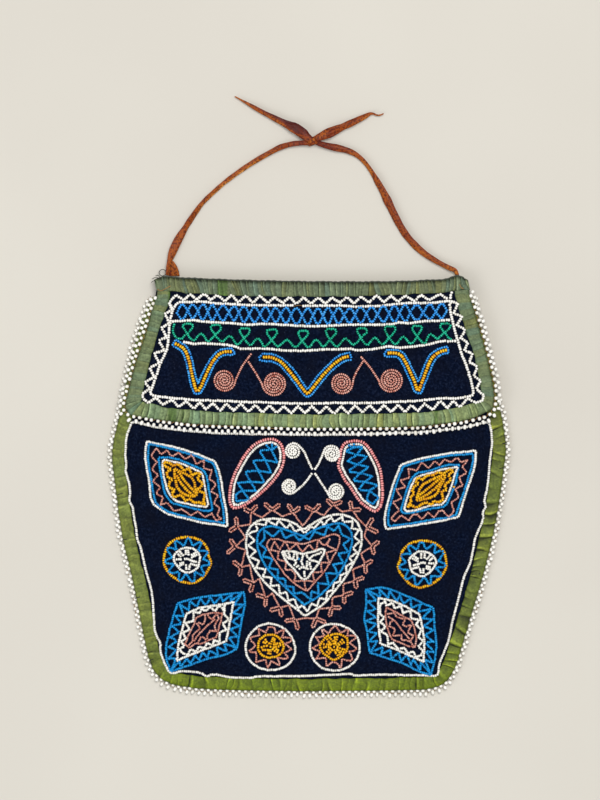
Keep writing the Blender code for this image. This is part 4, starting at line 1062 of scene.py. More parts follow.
FOOT_TEETH_PX = [
    (149, 403), (156, 397.8), (163, 404.5), (172, 399.5), (179, 407), (186, 401), (194, 408.5), (200, 402),
    (206, 409.5), (213, 402.8), (220, 410.3), (226.5, 403.5), (234, 411.2), (241, 404.3), (248.5, 411.8),
    (255.5, 404.8), (262.5, 412.2), (269.5, 405.3), (277, 412.8), (284, 405.8), (291, 413.2), (298, 406),
    (305, 413.4), (312, 406.1), (319.5, 413.5), (326.5, 406), (334, 413.3), (341, 405.8), (348, 413.1),
    (355, 405.4), (362.5, 412.9), (369.5, 405.1), (377, 412.6), (384, 404.8), (391, 412.3), (398, 404.6),
    (405, 412), (411, 405), (417.5, 411.3), (424, 403.6), (433, 409.8), (440, 401.5), (447, 408.5),
    (453, 400.8), (460, 407), (467, 398.5), (476.5, 403.3), (483, 400.5), (484, 395),
]
RIGHT_TEETH_PX = [
    (484, 395), (476, 388.5), (480.5, 381), (473.5, 375.5), (477, 367), (469, 362.5), (472.5, 354),
    (464, 350.5), (468, 343), (460, 338.5), (465, 329.5), (456.5, 325.5), (462, 316.5), (453.5, 313.5),
    (458, 303.5), (448, 301),
]
SECOND_LINE_PX = [
    (172, 321.3), (185, 321), (195, 320.5), (205, 322), (230, 323.2), (248, 325), (262, 324.3), (300, 326),
    (330, 326), (355, 325), (390, 324.6), (398, 322.5), (410, 323), (425, 321.2), (437, 321), (450, 320),
]
THIRD_LINE_PX = [
    (183, 342), (195, 344), (205, 343.3), (230, 345.5), (241, 348.5), (252, 348.6), (270, 349),
    (280, 350.5), (305, 350.8), (330, 349.3), (340, 349.5), (350, 349), (358, 350.5), (375, 349),
    (388, 346.5), (400, 347.7), (420, 345.8), (430, 344), (440, 341.5), (456, 341),
]
LATTICE_PX = [
    (177, 312), (188, 311), (198, 311), (208, 312), (217, 312.5), (229, 312.5), (239, 313), (249, 315),
    (260, 314.5), (271, 315), (281, 315), (291, 315), (302, 315.5), (313, 315), (323, 315.5), (333, 315),
    (344, 315.5), (355, 315), (366, 314), (377.5, 315), (389, 314.5), (400, 313), (410, 313), (423, 313),
    (436, 312), (447, 311.5),
]
LOOPS_START_PX = [(174.5, 324), (173, 332), (176, 338), (181, 339.5), (184, 336.5)]
LOOP_HEAD_PX = [(3.2, 6.0), (5.2, 3.0), (4.4, 0.0), (-4.4, 0.0), (-5.2, 3.0), (-3.2, 6.0)]
LOOPS_PX = [
    (187, 334), (215, 335), (244, 338.5), (271.5, 340), (302, 340.5), (330, 340), (360.5, 338.5),
    (389, 338), (417.5, 337), (444, 333),
]
LOOP_TOPS_PX = [
    (188, 324), (216, 325.5), (245, 328.5), (272, 330), (303, 331), (331, 329.5), (362, 328.5), (390, 327),
    (417, 326), (445, 323.8),
]
CHEVRONS_PX = [
    [
        (175, 343.5), (180, 346), (185, 350), (189, 360), (192, 373), (195, 386), (197.5, 391),
        (201, 386.5), (206, 375), (212, 363), (219, 355), (225, 352.3), (232, 352),
    ],
    [
        (262.5, 357.5), (270, 357.5), (276, 359.5), (283, 364), (295, 378), (303, 389), (307.5, 393.5),
        (312, 389), (320, 379), (327, 371), (334, 364), (342, 358.5), (349, 356.5),
    ],
    [
        (387, 353.5), (394, 353.3), (400, 355), (404, 360), (409, 370), (414, 381), (418, 390.5),
        (422, 382), (426, 371), (430, 361), (435, 355), (441, 351.5), (447, 350),
    ],
]
# For each disc: its centre, radius and turns, the degrees where it is wound from, its sense and its arm
SCROLLS_PX = (
    (
        ((224.4, 380.2), 11.1, 4.1, 0, 1, [(236.4, 378), (238.7, 373.5), (242.5, 366), (251.5, 353.8)]),
        ((274.3, 383.6), 12.2, 4.5, 180, -1, [(261.9, 384), (260.2, 380.8), (255.2, 372.2), (248.2, 361.4)]),
    ),
    (
        ((341.7, 383.2), 10.9, 4.1, 0, 1, [(353.3, 379), (356.2, 372.5), (363.2, 360.8)]),
        ((391, 380.2), 12.1, 4.5, 180, -1, [(378.7, 380.5), (376, 376.5), (370, 367.5), (360.5, 356.5)]),
    ),
)


def make_flap_frame():
    """The flap's white frame, the teeth round it and the two lines across it."""
    rows = Beadwork("beads_flap_frame", "flap_frame_beads", "white_beads", flap_top)
    rows.row(smooth(FRAME_LINE_PX), "big_white")
    rim = smooth(RIM_TOP_PX)
    top = smooth(TOP_LINE_PX)
    points = [(169.5, 302.5)]
    for apex, foot in zip(TOP_APEX_X, TOP_FOOT_X):
        points.append((apex, height_at(rim, apex) + dice.normal(0, 0.3)))
        points.append((foot, height_at(top, foot) - 2.2 + dice.normal(0, 0.25)))
    for corners in (points, LEFT_TEETH_PX, FOOT_TEETH_PX, RIGHT_TEETH_PX):
        rows.row(straight(corners), "big_white")
    rows.row([(450, 299.5), (451.8, 291.5)], "big_white")
    for line in (SECOND_LINE_PX, THIRD_LINE_PX):
        rows.row(smooth(line), "big_white", wobble=0.14)
    rows.build()


def make_flap_lattice():
    """Two blue zigzags that cross each other between the frame and the second line."""
    rows = Beadwork("beads_flap_lattice", "flap_lattice_beads", "royal_beads", flap_top)
    crossings = np.array(LATTICE_PX, float)
    top = smooth(TOP_LINE_PX)
    foot = smooth(SECOND_LINE_PX)
    for sense in (0, 1):
        points = [crossings[0]]
        for i, (start, end) in enumerate(zip(crossings, crossings[1:])):
            middle = (start[0] + end[0]) / 2
            if (i + sense) % 2 == 0:
                height = height_at(top, middle) + 2.3
            else:
                height = height_at(foot, middle) - 2.3
            for shift in (-0.13, 0.13):
                points.append((middle + shift * (end[0] - start[0]), height + dice.normal(0, 0.25)))
            points.append(end)
        rows.row(straight(points, 0.4), "royal")
    rows.build()


def make_flap_loops():
    """A green line of crossed loops with a low peak between each two."""
    rows = Beadwork("beads_flap_loops", "flap_loop_beads", "green_beads", flap_top)
    path = list(LOOPS_START_PX)
    crossings = np.array(LOOPS_PX)
    for i, (crossing, head) in enumerate(zip(crossings, np.array(LOOP_TOPS_PX))):
        if i > 0:
            path += [crossing + (-7.8, 6.8), crossing + (-5.2, 6.2)]
        path.append(crossing)
        path += [head + shift for shift in LOOP_HEAD_PX]
        path += [crossing + shift for shift in ((0.1, 0.1), (5.2, 6.2), (7.8, 6.8))]
        if i + 1 < len(crossings):
            peak = (crossing + crossings[i + 1]) / 2
            path += [peak + shift for shift in ((-3.2, 1.8), (0, -1.2), (3.2, 1.8))]
    rows.row(straight(path, 1.2), "green")
    rows.build()


def cap(tip, inside, far, half):
    """Places round the end of a row of beads, where its outline turns back."""
    ahead = towards(inside, tip)
    across = sideways(ahead)
    shifts = ((1.0, -3.1), (far, -half), (far, half), (1.0, 3.1))
    return [tip + ahead * depth + across * shift for depth, shift in shifts]


def make_chevrons():
    """Three yellow chevrons, each outlined in blue."""
    for number, points in enumerate(CHEVRONS_PX, 1):
        rows = Beadwork(f"beads_chevron_{number}", f"flap_chevron_beads_{number}", "yellow_beads", flap_top)
        core = smooth(points)
        rows.row(core, "big_yellow", wobble=0.08)
        one = offset(core, 3.4, closed=False)
        two = offset(core, -3.4, closed=False)
        end = cap(core[-1], core[-3], 3.1, 1.7)
        start = cap(core[0], core[2], 3.0, 1.6)
        around = np.vstack([one, end, two[::-1], start])[::3]
        rows.row(smooth(around, closed=True, steps=3), "royal", closed=True, width=2.6)
        rows.build()


def make_flap_scrolls():
    """Two pairs of rose discs, each wound from an arm that meets its fellow."""
    for number, discs in enumerate(SCROLLS_PX, 1):
        rows = Beadwork(f"beads_scroll_{number}", f"flap_scroll_beads_{number}", "rose_beads", flap_top)
        for centre, radius, turns, start, sense, arm in discs:
            winding = spiral(centre, radius, turns, start, sense, 2.66)
            rows.row(np.vstack([smooth(arm[::-1]), winding]), "scroll_rose", wobble=0.06)
        rows.build()


# Body embroidery

BORDER_PX = [
    (133, 422), (145, 424.5), (155, 427), (170, 428.5), (190, 430.5), (207, 432), (222, 433), (310, 434.5),
    (400, 433), (425, 431.5), (440, 430), (455, 428.5), (470, 426), (480, 423.5), (488, 423), (491, 430),
    (492.5, 443), (490, 461), (488.5, 480), (487, 490), (484.8, 500), (486, 507), (483.2, 512),
    (483.5, 518), (481, 525), (478, 532), (475, 540), (471.5, 560), (468.5, 568), (463, 582), (457, 605.7),
    (452.7, 621.8), (449, 639.6), (444.6, 652), (439.5, 663), (437, 674.5), (425, 675), (389, 674.5),
    (358, 675), (350, 673.3), (335, 674.5), (300, 676), (260, 676), (252, 677.5), (235, 677.5), (225, 676),
    (213, 674.3), (207, 676), (200, 672.8), (192, 671.5), (180, 671.3), (174, 673), (168.5, 671),
    (162, 658), (160, 650), (160, 643), (156, 635), (154, 628), (153.5, 613), (152.5, 600), (150.5, 588),
    (147.8, 578.6), (145, 568.7), (142.5, 557), (140, 547), (137, 539), (135.6, 528), (133.7, 517.5),
    (132, 506.7), (129, 500.6), (129.5, 493.7), (128.7, 484.5), (125.3, 471), (126, 463), (125, 455),
    (125.6, 443), (127, 435), (130, 427),
]
UPPER_LEFT_OUTER_PX = [
    [(147, 441), (160, 444), (175, 447), (190, 451.5), (203, 456)],
    [(214.5, 461), (218, 468), (221, 480), (223.5, 497), (226.5, 511)],
    [(227, 526), (215, 524), (200, 522), (183, 518), (167, 513.5)],
    [(154, 504.5), (150.5, 496), (149, 480), (146.5, 468), (145.5, 452)],
]
UPPER_LEFT_INNER_PX = [
    [(158, 455.5), (175, 458.5), (192, 465)], [(206, 471), (209, 493)], [(213.5, 511), (190, 507.5)],
    [(169, 499.5), (163, 485), (159, 468)],
]
UPPER_LEFT_ZIGZAG_PX = [
    (156, 447.5), (161, 454), (167, 450), (172, 456), (179, 452), (185, 459), (192, 455), (196, 464),
    (204, 460), (204, 468), (212, 470), (209, 479), (216, 484), (211, 491), (218, 495), (214, 503),
    (220, 508), (217, 515), (222, 518.5), (216, 520.5), (212, 513), (205, 517), (198, 511), (191, 515),
    (182, 509), (174, 511), (167, 503), (160, 505), (163, 497), (156, 493), (160.5, 487), (153, 481),
    (158, 475), (152, 469), (157, 462), (151, 456),
]
UPPER_RIGHT_OUTER_PX = [
    [(401, 465), (410, 461.5), (425, 457.6), (440, 454.8), (455, 452.4)],
    [(475.5, 450.8), (475.5, 462), (472, 475), (467, 490), (463, 503)],
    [(458, 516.5), (445, 520), (430, 522.5), (415, 525), (402, 527)],
    [(386.5, 528.5), (384.5, 520), (387, 505), (391.5, 489), (396, 477)],
]
UPPER_RIGHT_INNER_PX = [
    [(412.5, 473.5), (430, 468.5), (447, 464.8)], [(460, 464.5), (456, 485)], [(447, 506), (425, 510)],
    [(401, 513.5), (404.5, 493)],
]
UPPER_RIGHT_ZIGZAG_PX = [
    (408, 468), (416.5, 470.5), (422, 462), (428, 468), (435, 461), (439.5, 465.5), (445, 459.5),
    (451, 462.5), (457, 457.5), (461, 462), (468, 460), (462, 466.5), (466.5, 472.5), (459, 477),
    (463, 485), (455, 489), (459, 497), (451, 502), (454, 511), (448.5, 516.5), (443, 510), (438.5, 510.5),
    (434, 517), (428, 512), (422, 519), (417, 513.5), (412.5, 514.5), (409, 520.5), (401, 515),
    (395, 521.5), (391, 518), (399, 510), (393, 502), (402, 498), (396, 489.5), (406, 487), (400, 480),
    (409.5, 477.5),
]
LOWER_LEFT_OUTER_PX = [
    [(178, 602.5), (195, 598), (210, 595.8), (225, 593.8)],
    [(243.5, 592), (245, 603), (242.5, 617), (240, 632)], [(237, 648), (225, 654), (205, 659), (188, 665)],
    [(171, 671), (166.5, 660), (166.5, 645), (170, 627), (174, 613)],
]
LOWER_LEFT_MIDDLE_PX = [
    [(187, 613), (199, 607.5), (215, 604.5)], [(233.5, 601.5), (231, 615), (228.5, 628)],
    [(226, 640.5), (210, 647), (193, 653.5)], [(177, 660), (178.5, 645), (182, 628)],
]
LOWER_RIGHT_OUTER_PX = [
    [(366, 589), (382, 587.5), (395, 590.5), (405, 595), (418, 600.5)],
    [(433, 607.5), (434.5, 625), (436, 643), (434.5, 660)],
    [(431, 674.5), (420, 671), (407, 664.6), (390, 658.5)],
    [(370, 652), (368, 640), (366.5, 628), (364, 619), (366, 605)],
]
LOWER_RIGHT_MIDDLE_PX = [
    [(378.5, 597.5), (390, 600), (405, 606)], [(419.5, 614), (422, 625), (424.5, 643)],
    [(424, 661.5), (410, 655), (395, 648.6)], [(381, 643), (378.5, 625), (378, 610)],
]
UPPER_LEFT_FILL = (
    [
        (158.6, 457.7), (168.4, 457.2), (176.4, 458.6), (189.8, 463.5), (202.3, 469.3), (206.3, 474.2),
        (208.1, 486.3), (210.8, 498.8), (213, 510.4), (206.3, 511), (195.2, 508.3), (184, 505.4),
        (171.5, 502.8), (164.6, 493), (162.1, 479.6),
    ],
    [
        (163.3, 459.9), (172, 461.5), (180, 462.6), (192.5, 468), (202.3, 472.4), (204.6, 483.6),
        (205.9, 493), (208.4, 506.8), (197, 505.7), (186.3, 503.7), (175.5, 501), (168.6, 493),
        (164.8, 479.6), (162.4, 466.2),
    ],
    [
        (164, 462), (168.4, 462.2), (173.3, 465.8), (178.2, 463.8), (181, 466.5), (184, 471),
        (189.2, 467.6), (192, 475.5), (195.6, 473), (201, 473), (197, 478.3), (203, 483.8), (200.2, 487.8),
        (196.6, 489), (205, 493.5), (203.2, 501.5), (206, 504.8), (199.6, 502), (193, 502.3), (189, 498.3),
        (185.4, 501.4), (182.7, 496.5), (179.1, 494.3), (174.6, 497.4), (171.5, 493.8), (175.1, 489.8),
        (168.8, 486.7), (170.2, 481), (173, 479), (167.5, 477), (166.6, 472), (171.5, 468.8), (165, 466.6),
    ],
    [
        (174.2, 468.4), (180, 471.5), (187.6, 474.6), (193.8, 480), (195.4, 488), (198, 494), (193, 497),
        (183.6, 494.3), (177.3, 488.5), (174.6, 479.6),
    ],
    [
        [(178, 471), (182.2, 477.3), (189.8, 486.3), (196, 493.5)],
        [(176.8, 474.8), (181.8, 483.6), (188.6, 491), (193.4, 495)],
    ],
)
UPPER_RIGHT_FILL = (
    [
        (459.7, 464.7), (448.6, 465), (437.4, 467.9), (427.6, 471), (417.3, 472.3), (411.1, 479),
        (407.1, 488.8), (403.5, 499.6), (400.4, 511.6), (406.2, 513.4), (419.1, 511.4), (430.7, 508.5),
        (445.4, 506.3), (449.5, 498.2), (455.7, 483.5), (457.5, 473.2),
    ],
    [
        (457.5, 466.5), (446.3, 468.3), (432.9, 472.3), (420.9, 474.8), (414.2, 478.6), (410.6, 487.1),
        (407.1, 497.3), (403.9, 507.6), (405.3, 511.2), (417.3, 509.8), (428, 505.8), (442.8, 504.2),
        (447.7, 496), (452.1, 483.5), (454.8, 473.2),
    ],
    [
        (407.5, 507.6), (410.2, 504), (416, 507.6), (422.7, 503.6), (426.3, 502.2), (430.7, 504.5),
        (433.8, 503.6), (433, 500.4), (438.3, 502.2), (443.7, 499.6), (441.4, 491.5), (446.8, 489.7),
        (444.6, 485.7), (446.3, 482.6), (450.8, 480.4), (448.1, 475), (453.5, 471), (450.4, 468.8),
        (446, 471.4), (444, 474.6), (440.5, 472.3), (436.5, 472.3), (433.8, 475), (426.3, 475.4),
        (422.7, 480.4), (418.7, 476.8), (415, 481.3), (419, 483.5), (413.3, 487), (412, 491), (414.6, 493),
        (409.7, 498.2), (412, 500.4),
    ],
    [
        (416.5, 500.5), (418.2, 492.4), (421.8, 484.8), (430.7, 480), (440, 475.6), (446, 473.8),
        (443.7, 480.4), (439.6, 487), (437.4, 494.6), (429, 498.2),
    ],
    [
        [(416, 498), (424, 491.5), (433, 484), (442, 476.8)],
        [(418.5, 499), (426.3, 494.6), (436, 487.5), (443.5, 478.5)],
    ],
)
LOWER_LEFT_FILL = (
    [
        (225.8, 605.4), (224.6, 610.4), (215, 610.6), (205.3, 610.7), (199.6, 613), (193.5, 620.4),
        (189.8, 629), (186.1, 638), (184.4, 645.6), (182.6, 652.4), (190.4, 648.4), (198.6, 646),
        (206.9, 642.1), (213.9, 638.8), (219.6, 632.3), (222.4, 623), (224.1, 613.5),
    ],
    [
        (184.9, 644.1), (189.4, 647.4), (195.1, 642.8), (201.2, 643), (208.2, 639.6), (216.7, 636),
        (218, 631.5), (220.8, 621), (222.4, 613), (213.5, 612.3), (202.4, 614.3), (196, 617.2),
        (193.5, 624), (188.2, 634.7),
    ],
    [
        [(197.6, 622), (203.3, 623.9), (205, 621), (205.3, 614.5)],
        [(206.9, 614.5), (211.8, 619.2), (216.7, 614)],
        [(196.3, 622.5), (200, 627.8), (194, 632.7), (192.3, 634.7), (192.5, 641), (186.5, 646.2)],
        [(215.5, 618.8), (207.8, 624.5), (201.2, 631.1), (196.3, 637.2), (194.3, 641)],
        [(217, 614), (219.2, 617.6), (214.7, 624.5), (215.5, 630)],
        [(217, 631), (209.8, 630.2), (207.3, 636), (207.8, 638.5)],
        [(206.5, 639), (201.6, 636), (200.4, 637.2), (198, 643)],
    ],
)
LOWER_RIGHT_FILL = (
    [
        (381.6, 602.6), (386.6, 605.4), (394.6, 608.2), (402.6, 613.3), (411.1, 618.2), (415.5, 624),
        (418.2, 636.1), (418.4, 646), (420.6, 655.2), (413.6, 650.6), (404.5, 647), (393.2, 642.3),
        (387.4, 634.7), (385.6, 625.8), (383.8, 616.9), (380.3, 610.2),
    ],
    [
        (386, 606.6), (396.3, 612), (406.1, 617), (411.5, 620), (414.6, 628.5), (416.2, 638), (415, 647),
        (408.8, 646.3), (399, 641.4), (392, 638.3), (387.8, 629.4), (385.6, 619.6), (384.7, 611),
    ],
    [
        [
            (387, 613.8), (393.6, 612.4), (396.3, 616.2), (404.8, 618.7), (403, 624.5), (405.3, 625.8),
            (411.5, 624.4), (408.4, 630.3), (408.8, 633), (413.7, 634.7), (410.2, 640.5),
        ],
        [
            (387.8, 616), (393.6, 619), (389.6, 622.7), (389.2, 625.8), (395.4, 628.5), (392.3, 635.6),
            (401.7, 634.7), (401.2, 639.2), (409.7, 640.5), (413.7, 646),
        ],
        [(394.5, 619.5), (401.7, 629.4), (409.3, 638.8)],
    ],
)
HEART_FILL = (
    [
        (272.1, 558.1), (277.9, 569.2), (285.3, 578.7), (293.8, 586.1), (302.2, 592.5), (311.2, 590.9),
        (318.1, 582.9), (326.1, 572.9), (332.4, 563.9), (338.2, 553.3), (342.8, 543.6), (342.4, 534.5),
        (334.5, 530.4), (324.5, 535.3), (309.6, 539), (299.1, 540.6), (284.8, 537.9), (273.1, 536.4),
        (264.6, 538.4), (266.4, 548.6),
    ],
    [
        (269.9, 539), (276.8, 538.5), (284.8, 540.9), (296.9, 543), (303.3, 544), (313.4, 540.6),
        (326.6, 536.6), (332.4, 534), (338.2, 534.5), (340.3, 537.9), (337.7, 548.5), (330.3, 561.8),
        (322.9, 573.4), (314.4, 582.4), (307, 591.4), (296.4, 584.5), (284.8, 574.5), (274.7, 559.6),
        (267.8, 547.5), (266.8, 542.7),
    ],
    [
        (270.5, 550.1), (279, 551), (277.4, 558.6), (286.4, 561.8), (285, 569.3), (292, 569.5),
        (295.5, 574.5), (294, 581), (304.4, 580.3), (314.4, 581), (312.3, 572), (322.4, 571.8),
        (321, 562.5), (329.2, 561.8), (326.3, 552.5), (336.6, 549.6), (326.6, 544.8), (330.3, 537.9),
        (325.8, 544.8), (322.3, 544.3), (318.1, 539.5), (316.8, 549), (313.9, 549.6), (309.1, 544),
        (302.2, 551.7), (296.4, 543.2), (289.5, 549.6), (284.8, 541.5), (279.5, 549), (274.7, 540.5),
        (271.4, 546),
    ],
    [
        (282.1, 551.2), (293.8, 551.2), (303.3, 553.8), (314.9, 550.6), (321.3, 548), (325.5, 549.1),
        (323.4, 554.4), (318.1, 563.9), (309.6, 573.9), (307.5, 578.2), (301.2, 578.2), (294.8, 569.2),
        (285.8, 560.2),
    ],
    [
        [(284.2, 551.2), (287.9, 557.5), (295.9, 559.6), (296.4, 562.8), (293.8, 565.5)],
        [(288.5, 551.7), (291.6, 558.6)], [(294.8, 551.7), (293.2, 558.6)],
        [(296.9, 552.8), (297.5, 559.6)], [(303.3, 554.9), (301.2, 561), (303.8, 567.1)],
        [(305.9, 554.4), (309.1, 558.6), (312.8, 555.4), (321.8, 551.7)], [(309.1, 559.1), (318.1, 561.8)],
        [(309.6, 561.2), (311.2, 569.2)], [(307, 560.2), (306.5, 568.1)], [(295.9, 567.1), (299.1, 564.9)],
        [(299.1, 569.2), (302.2, 567.1), (308.6, 569.2)], [(304.4, 570.2), (304.9, 576.6)],
    ],
)
FOOT_LEFT_FILL = (
    [
        (258.3, 628), (265.6, 632.3), (268.5, 626.5), (274.5, 627), (275.8, 632.9), (284.5, 629),
        (281.5, 636.9), (290.5, 637.3), (291.8, 640.5), (284.5, 643.2), (292, 648.5), (284.5, 652.5),
        (288.4, 656.8), (286.1, 658.5), (277.5, 656.8), (279.8, 664.8), (270.8, 660), (268, 667.6),
        (265.2, 659.1), (255.6, 662.1), (256.3, 651.2), (249, 651.2), (255.6, 645.2), (250, 637.9),
        (251.6, 636.3), (259.6, 634.9),
    ],
    [
        (283.9, 645.9), (281.5, 652.2), (276, 656.6), (268, 657.4), (261.5, 654.2), (258.1, 647.5),
        (259.6, 639.8), (265.2, 635.1), (272.5, 634.3), (279.8, 637.9),
    ],
    (270.5, 646.2),
    [(273.9, 638.6), (279.8, 643.9), (277.2, 650.5), (269.9, 652.5), (262.6, 647.9), (264.6, 640.6)],
)
FOOT_RIGHT_FILL = (
    [
        (335.2, 625.2), (340.7, 632.4), (347.6, 628.3), (349, 630), (346.6, 635.5), (355.2, 635.2),
        (355.9, 637.2), (349.3, 641.7), (356.9, 647.9), (354.5, 650.3), (349, 650.6), (352.8, 658.6),
        (350.4, 660.6), (341.7, 658.2), (341.7, 666.5), (339.7, 667.2), (337.3, 662.4), (332.8, 661.7),
        (326.6, 665.8), (325.6, 657.2), (315.6, 658.6), (320.1, 652.4), (319.4, 650.3), (312, 647.6),
        (320.7, 642.7), (315.4, 636.9), (324.9, 635.5), (321.4, 630), (323.2, 629), (328.7, 633.1),
        (332.8, 626.9),
    ],
    [
        (323.5, 639.3), (328.7, 635.2), (335.5, 633.4), (340.7, 633.8), (346.9, 637.6), (347.9, 644.1),
        (346.9, 650.3), (343.1, 654.4), (338.3, 657.9), (332.8, 659.3), (328.7, 656.5), (323.5, 652.7),
        (320, 645.8),
    ],
    (334, 646.3),
    [(342.6, 641), (343.8, 650), (338, 653.8), (328, 652), (324.4, 645.4), (328.6, 638.4), (336, 637)],
)
ROSETTES_PX = {
    "left": (187, 560),
    "right": (422.8, 563.6),
}
# The side rosettes are drawn round the left one's middle; the right one is its mirror image, a bit wider
WHEEL_PX = [
    (178.6, 550.2), (183.4, 547.8), (191, 547.5), (195.5, 549.9), (199.3, 553.7), (200.6, 557.8),
    (198.9, 562.3), (198.6, 566.7), (195.5, 569.2), (189.6, 572.3), (185.5, 571.9), (180.3, 569.2),
    (177.2, 565), (174.8, 561.2), (173.4, 557.8), (174.8, 554.3),
]
SPOKES_PX = [
    [(185.1, 549.2), (185.5, 554.4)], [(187.6, 549.2), (188.6, 555)], [(179.3, 550.6), (183.8, 555.7)],
    [(177.2, 553.7), (180.7, 557.1)], [(175.5, 559.5), (182, 559.2)], [(179.3, 563.3), (184.1, 561.9)],
    [(179.3, 566), (184.1, 563.6)], [(186.2, 564), (186.2, 569.5)], [(189.6, 564), (188.9, 569.5)],
    [(190, 563.3), (197.2, 565)], [(184, 559.2), (188.2, 558.5), (191, 560.2), (196.8, 561.6)],
    [(191, 555), (196.5, 551.6)], [(191, 557.8), (197.5, 554.3)],
]
ROSETTE_TEETH_PX = [
    (188.6, 539.2), (192.4, 545.4), (200.3, 542.5), (198.2, 550.2), (206.5, 551.8), (202.7, 558.5),
    (208.6, 563), (200.5, 566), (203, 574), (195, 571.4), (193, 580), (185.5, 573.3), (180.3, 579),
    (179.3, 571.6), (170.2, 571), (174.8, 563.6), (166.2, 561.2), (172.4, 557.1), (168.8, 548.5),
    (176.5, 549.5), (176.2, 541.6), (183.8, 545.7),
]
ROSETTE_RING_PX = [
    (187.5, 536.8), (199.3, 539.5), (206.8, 546.8), (208.6, 555), (211, 562.3), (207.9, 570.2),
    (200.6, 578.8), (191, 582.9), (180.7, 580.9), (171, 574.7), (165.5, 566.7), (164.1, 557.5),
    (168.3, 545.1), (177.2, 538.5),
]
FOOT_ROSETTES_PX = {
    "left": ((270.4, 646.8), 24.8, 23.0),
    "right": ((334.6, 646.8), 24.8, 23.2),
}
LEFT_LEAF_PX = [
    (230, 502), (229.7, 495), (231, 485), (234, 475), (238, 467), (243, 458), (249, 450), (256, 443.5),
    (264, 440), (271, 439), (277, 440.5), (281.5, 445), (283.5, 451), (284, 457), (283, 464), (280, 471),
    (276, 477), (270, 484), (263, 491), (256, 497), (248, 502.5), (240, 506.5), (233, 507.5),
]
LEFT_CROSSINGS_PX = [(236, 501), (242.3, 490.4), (250.4, 481.7), (258.6, 470.5), (265, 460), (271.4, 450)]
LEFT_SIDE_PX = (
    [(235.6, 494), (237, 482.5), (245.5, 471.5), (253, 460.5), (259.4, 450.5), (266, 444)],
    [(248.6, 499.4), (256.5, 491), (264.5, 482.5), (271.5, 472.5), (278, 462.5), (280, 452)],
)
RIGHT_LEAF_PX = [
    (345, 443), (352, 441), (358, 441), (364, 443), (369, 448), (374, 456), (378, 464), (381, 473),
    (382.5, 490), (382, 500), (380, 507), (376, 511), (371, 509.5), (366, 506), (360, 501), (355, 494),
    (350.5, 487), (345, 480), (341, 472), (338.5, 465), (340, 458), (341, 450),
]
RIGHT_CROSSINGS_PX = [
    (353, 447.5), (356, 455), (357.7, 464.4), (360.3, 473), (364.6, 481.6), (368.9, 490.3), (373, 504),
]
RIGHT_SIDE_PX = (
    [(345.6, 451), (346.6, 461), (348.6, 471), (353.2, 480.5), (359.2, 489.5), (366.5, 499.8)],
    [(362.8, 446.5), (366.8, 456.5), (369, 467), (373.2, 476), (378, 485), (378.8, 497)],
)
LEAF_TIPS_PX = ((-5.6, -5.4), (0.6, -7.0), (6.2, -4.0))
# For each disc of the cross: its centre, its radius, its arm and its sense
CROSS_PX = (
    ((293, 451), 8.0, [(298.5, 447), (303, 450), (306.5, 457), (309.6, 464), (312.4, 469.4)], 1),
    ((289.4, 486), 8.0, [(296, 490), (301.5, 486), (306, 481.5), (309.5, 477), (312.2, 473.2)], -1),
    ((331.8, 454), 8.5, [(325.5, 449.5), (322, 456.5), (319, 463), (314.6, 469.8)], -1),
    ((335.6, 490.9), 8.3, [(330.5, 496), (326.5, 490.5), (322, 483.5), (318, 477.4), (314.5, 472.9)], 1),
)
HEART_FOOT_PX = [(304.4, 580.3), (306.3, 589)]
# Single beads of another colour, in the right upper diamond and in the heart
STRAY_YELLOW_PX = (453.9, 486.6)
STRAY_BLUE_PX = (299.1, 558.6)
HEART_OUTER_PX = [
    [
        (303, 529), (296.5, 524.5), (290, 521), (280, 518.5), (270, 518.5), (260, 520), (251, 526),
        (246.5, 537), (247, 552), (252, 564), (262, 579), (280, 596),
    ],
    [
        (305, 615), (314, 610), (325, 602), (334, 591), (345, 577), (355, 560), (360, 548), (361.5, 536),
        (358.5, 524), (350, 516.5), (340, 514.5), (328, 516.3), (315, 522),
    ],
]
HEART_MIDDLE_PX = [
    [(303, 535.5), (290, 531), (280, 527.5), (270, 526), (261, 530), (257.5, 540), (261, 556), (273, 575)],
    [
        (304.5, 604.5), (322, 593), (338, 575), (348, 556), (352, 540), (349, 528.5), (340, 523),
        (328, 525), (314, 530),
    ],
]
HEART_INNER_PX = [
    [(302.5, 544.5), (290, 541.5), (271, 537.5), (268, 544), (277, 560), (290, 577)],
    [(305, 591), (320, 578), (333, 561), (341.5, 544), (337.5, 534.5), (318, 540)],
]
SPRIG_APEXES_PX = [
    (251, 512), (272, 510), (293, 512), (314, 511), (333, 505), (352, 510), (367, 527), (372, 546),
    (365, 564), (355, 580), (344, 595), (332, 607), (316, 618), (295, 619), (280, 607), (266, 597),
    (253, 583), (241, 567), (235, 546), (237, 526),
]
SPRIG_FEET_PX = [
    (262, 517.5), (282, 516.5), (303, 525.5), (324, 515), (342, 512), (358.5, 519.5), (364, 536),
    (361, 553), (352.5, 569), (343.5, 584), (332.5, 597), (319, 608.5), (305, 617.5), (289, 605),
    (272.5, 592), (259.5, 578), (250, 564), (245.3, 550), (245.5, 537), (250, 524),
]
SPRIG_PETALS_PX = [
    ((244, 508), (257, 505)), ((264.5, 503), (280, 504)), ((288, 504), (300, 507)),
    ((305, 506), (320, 504)), ((327, 499), (342, 501)), ((350, 501), (361, 509)), ((373, 518), (378, 532)),
    ((379, 541), (374, 554)), ((372.5, 560), (366, 573)), ((364, 577), (356.5, 588)),
    ((353, 592), (344.5, 603)), ((341, 607.5), (329.5, 616)), ((326, 622), (312.5, 627)),
    ((285, 620.5), (298, 629)), ((270, 610), (281.5, 616)), ((256, 594), (265, 606)),
    ((243, 579.5), (250, 591.5)), ((233, 561), (239.5, 575.5)), ((230, 539), (227, 553)),
    ((236, 517), (229, 531)),
]


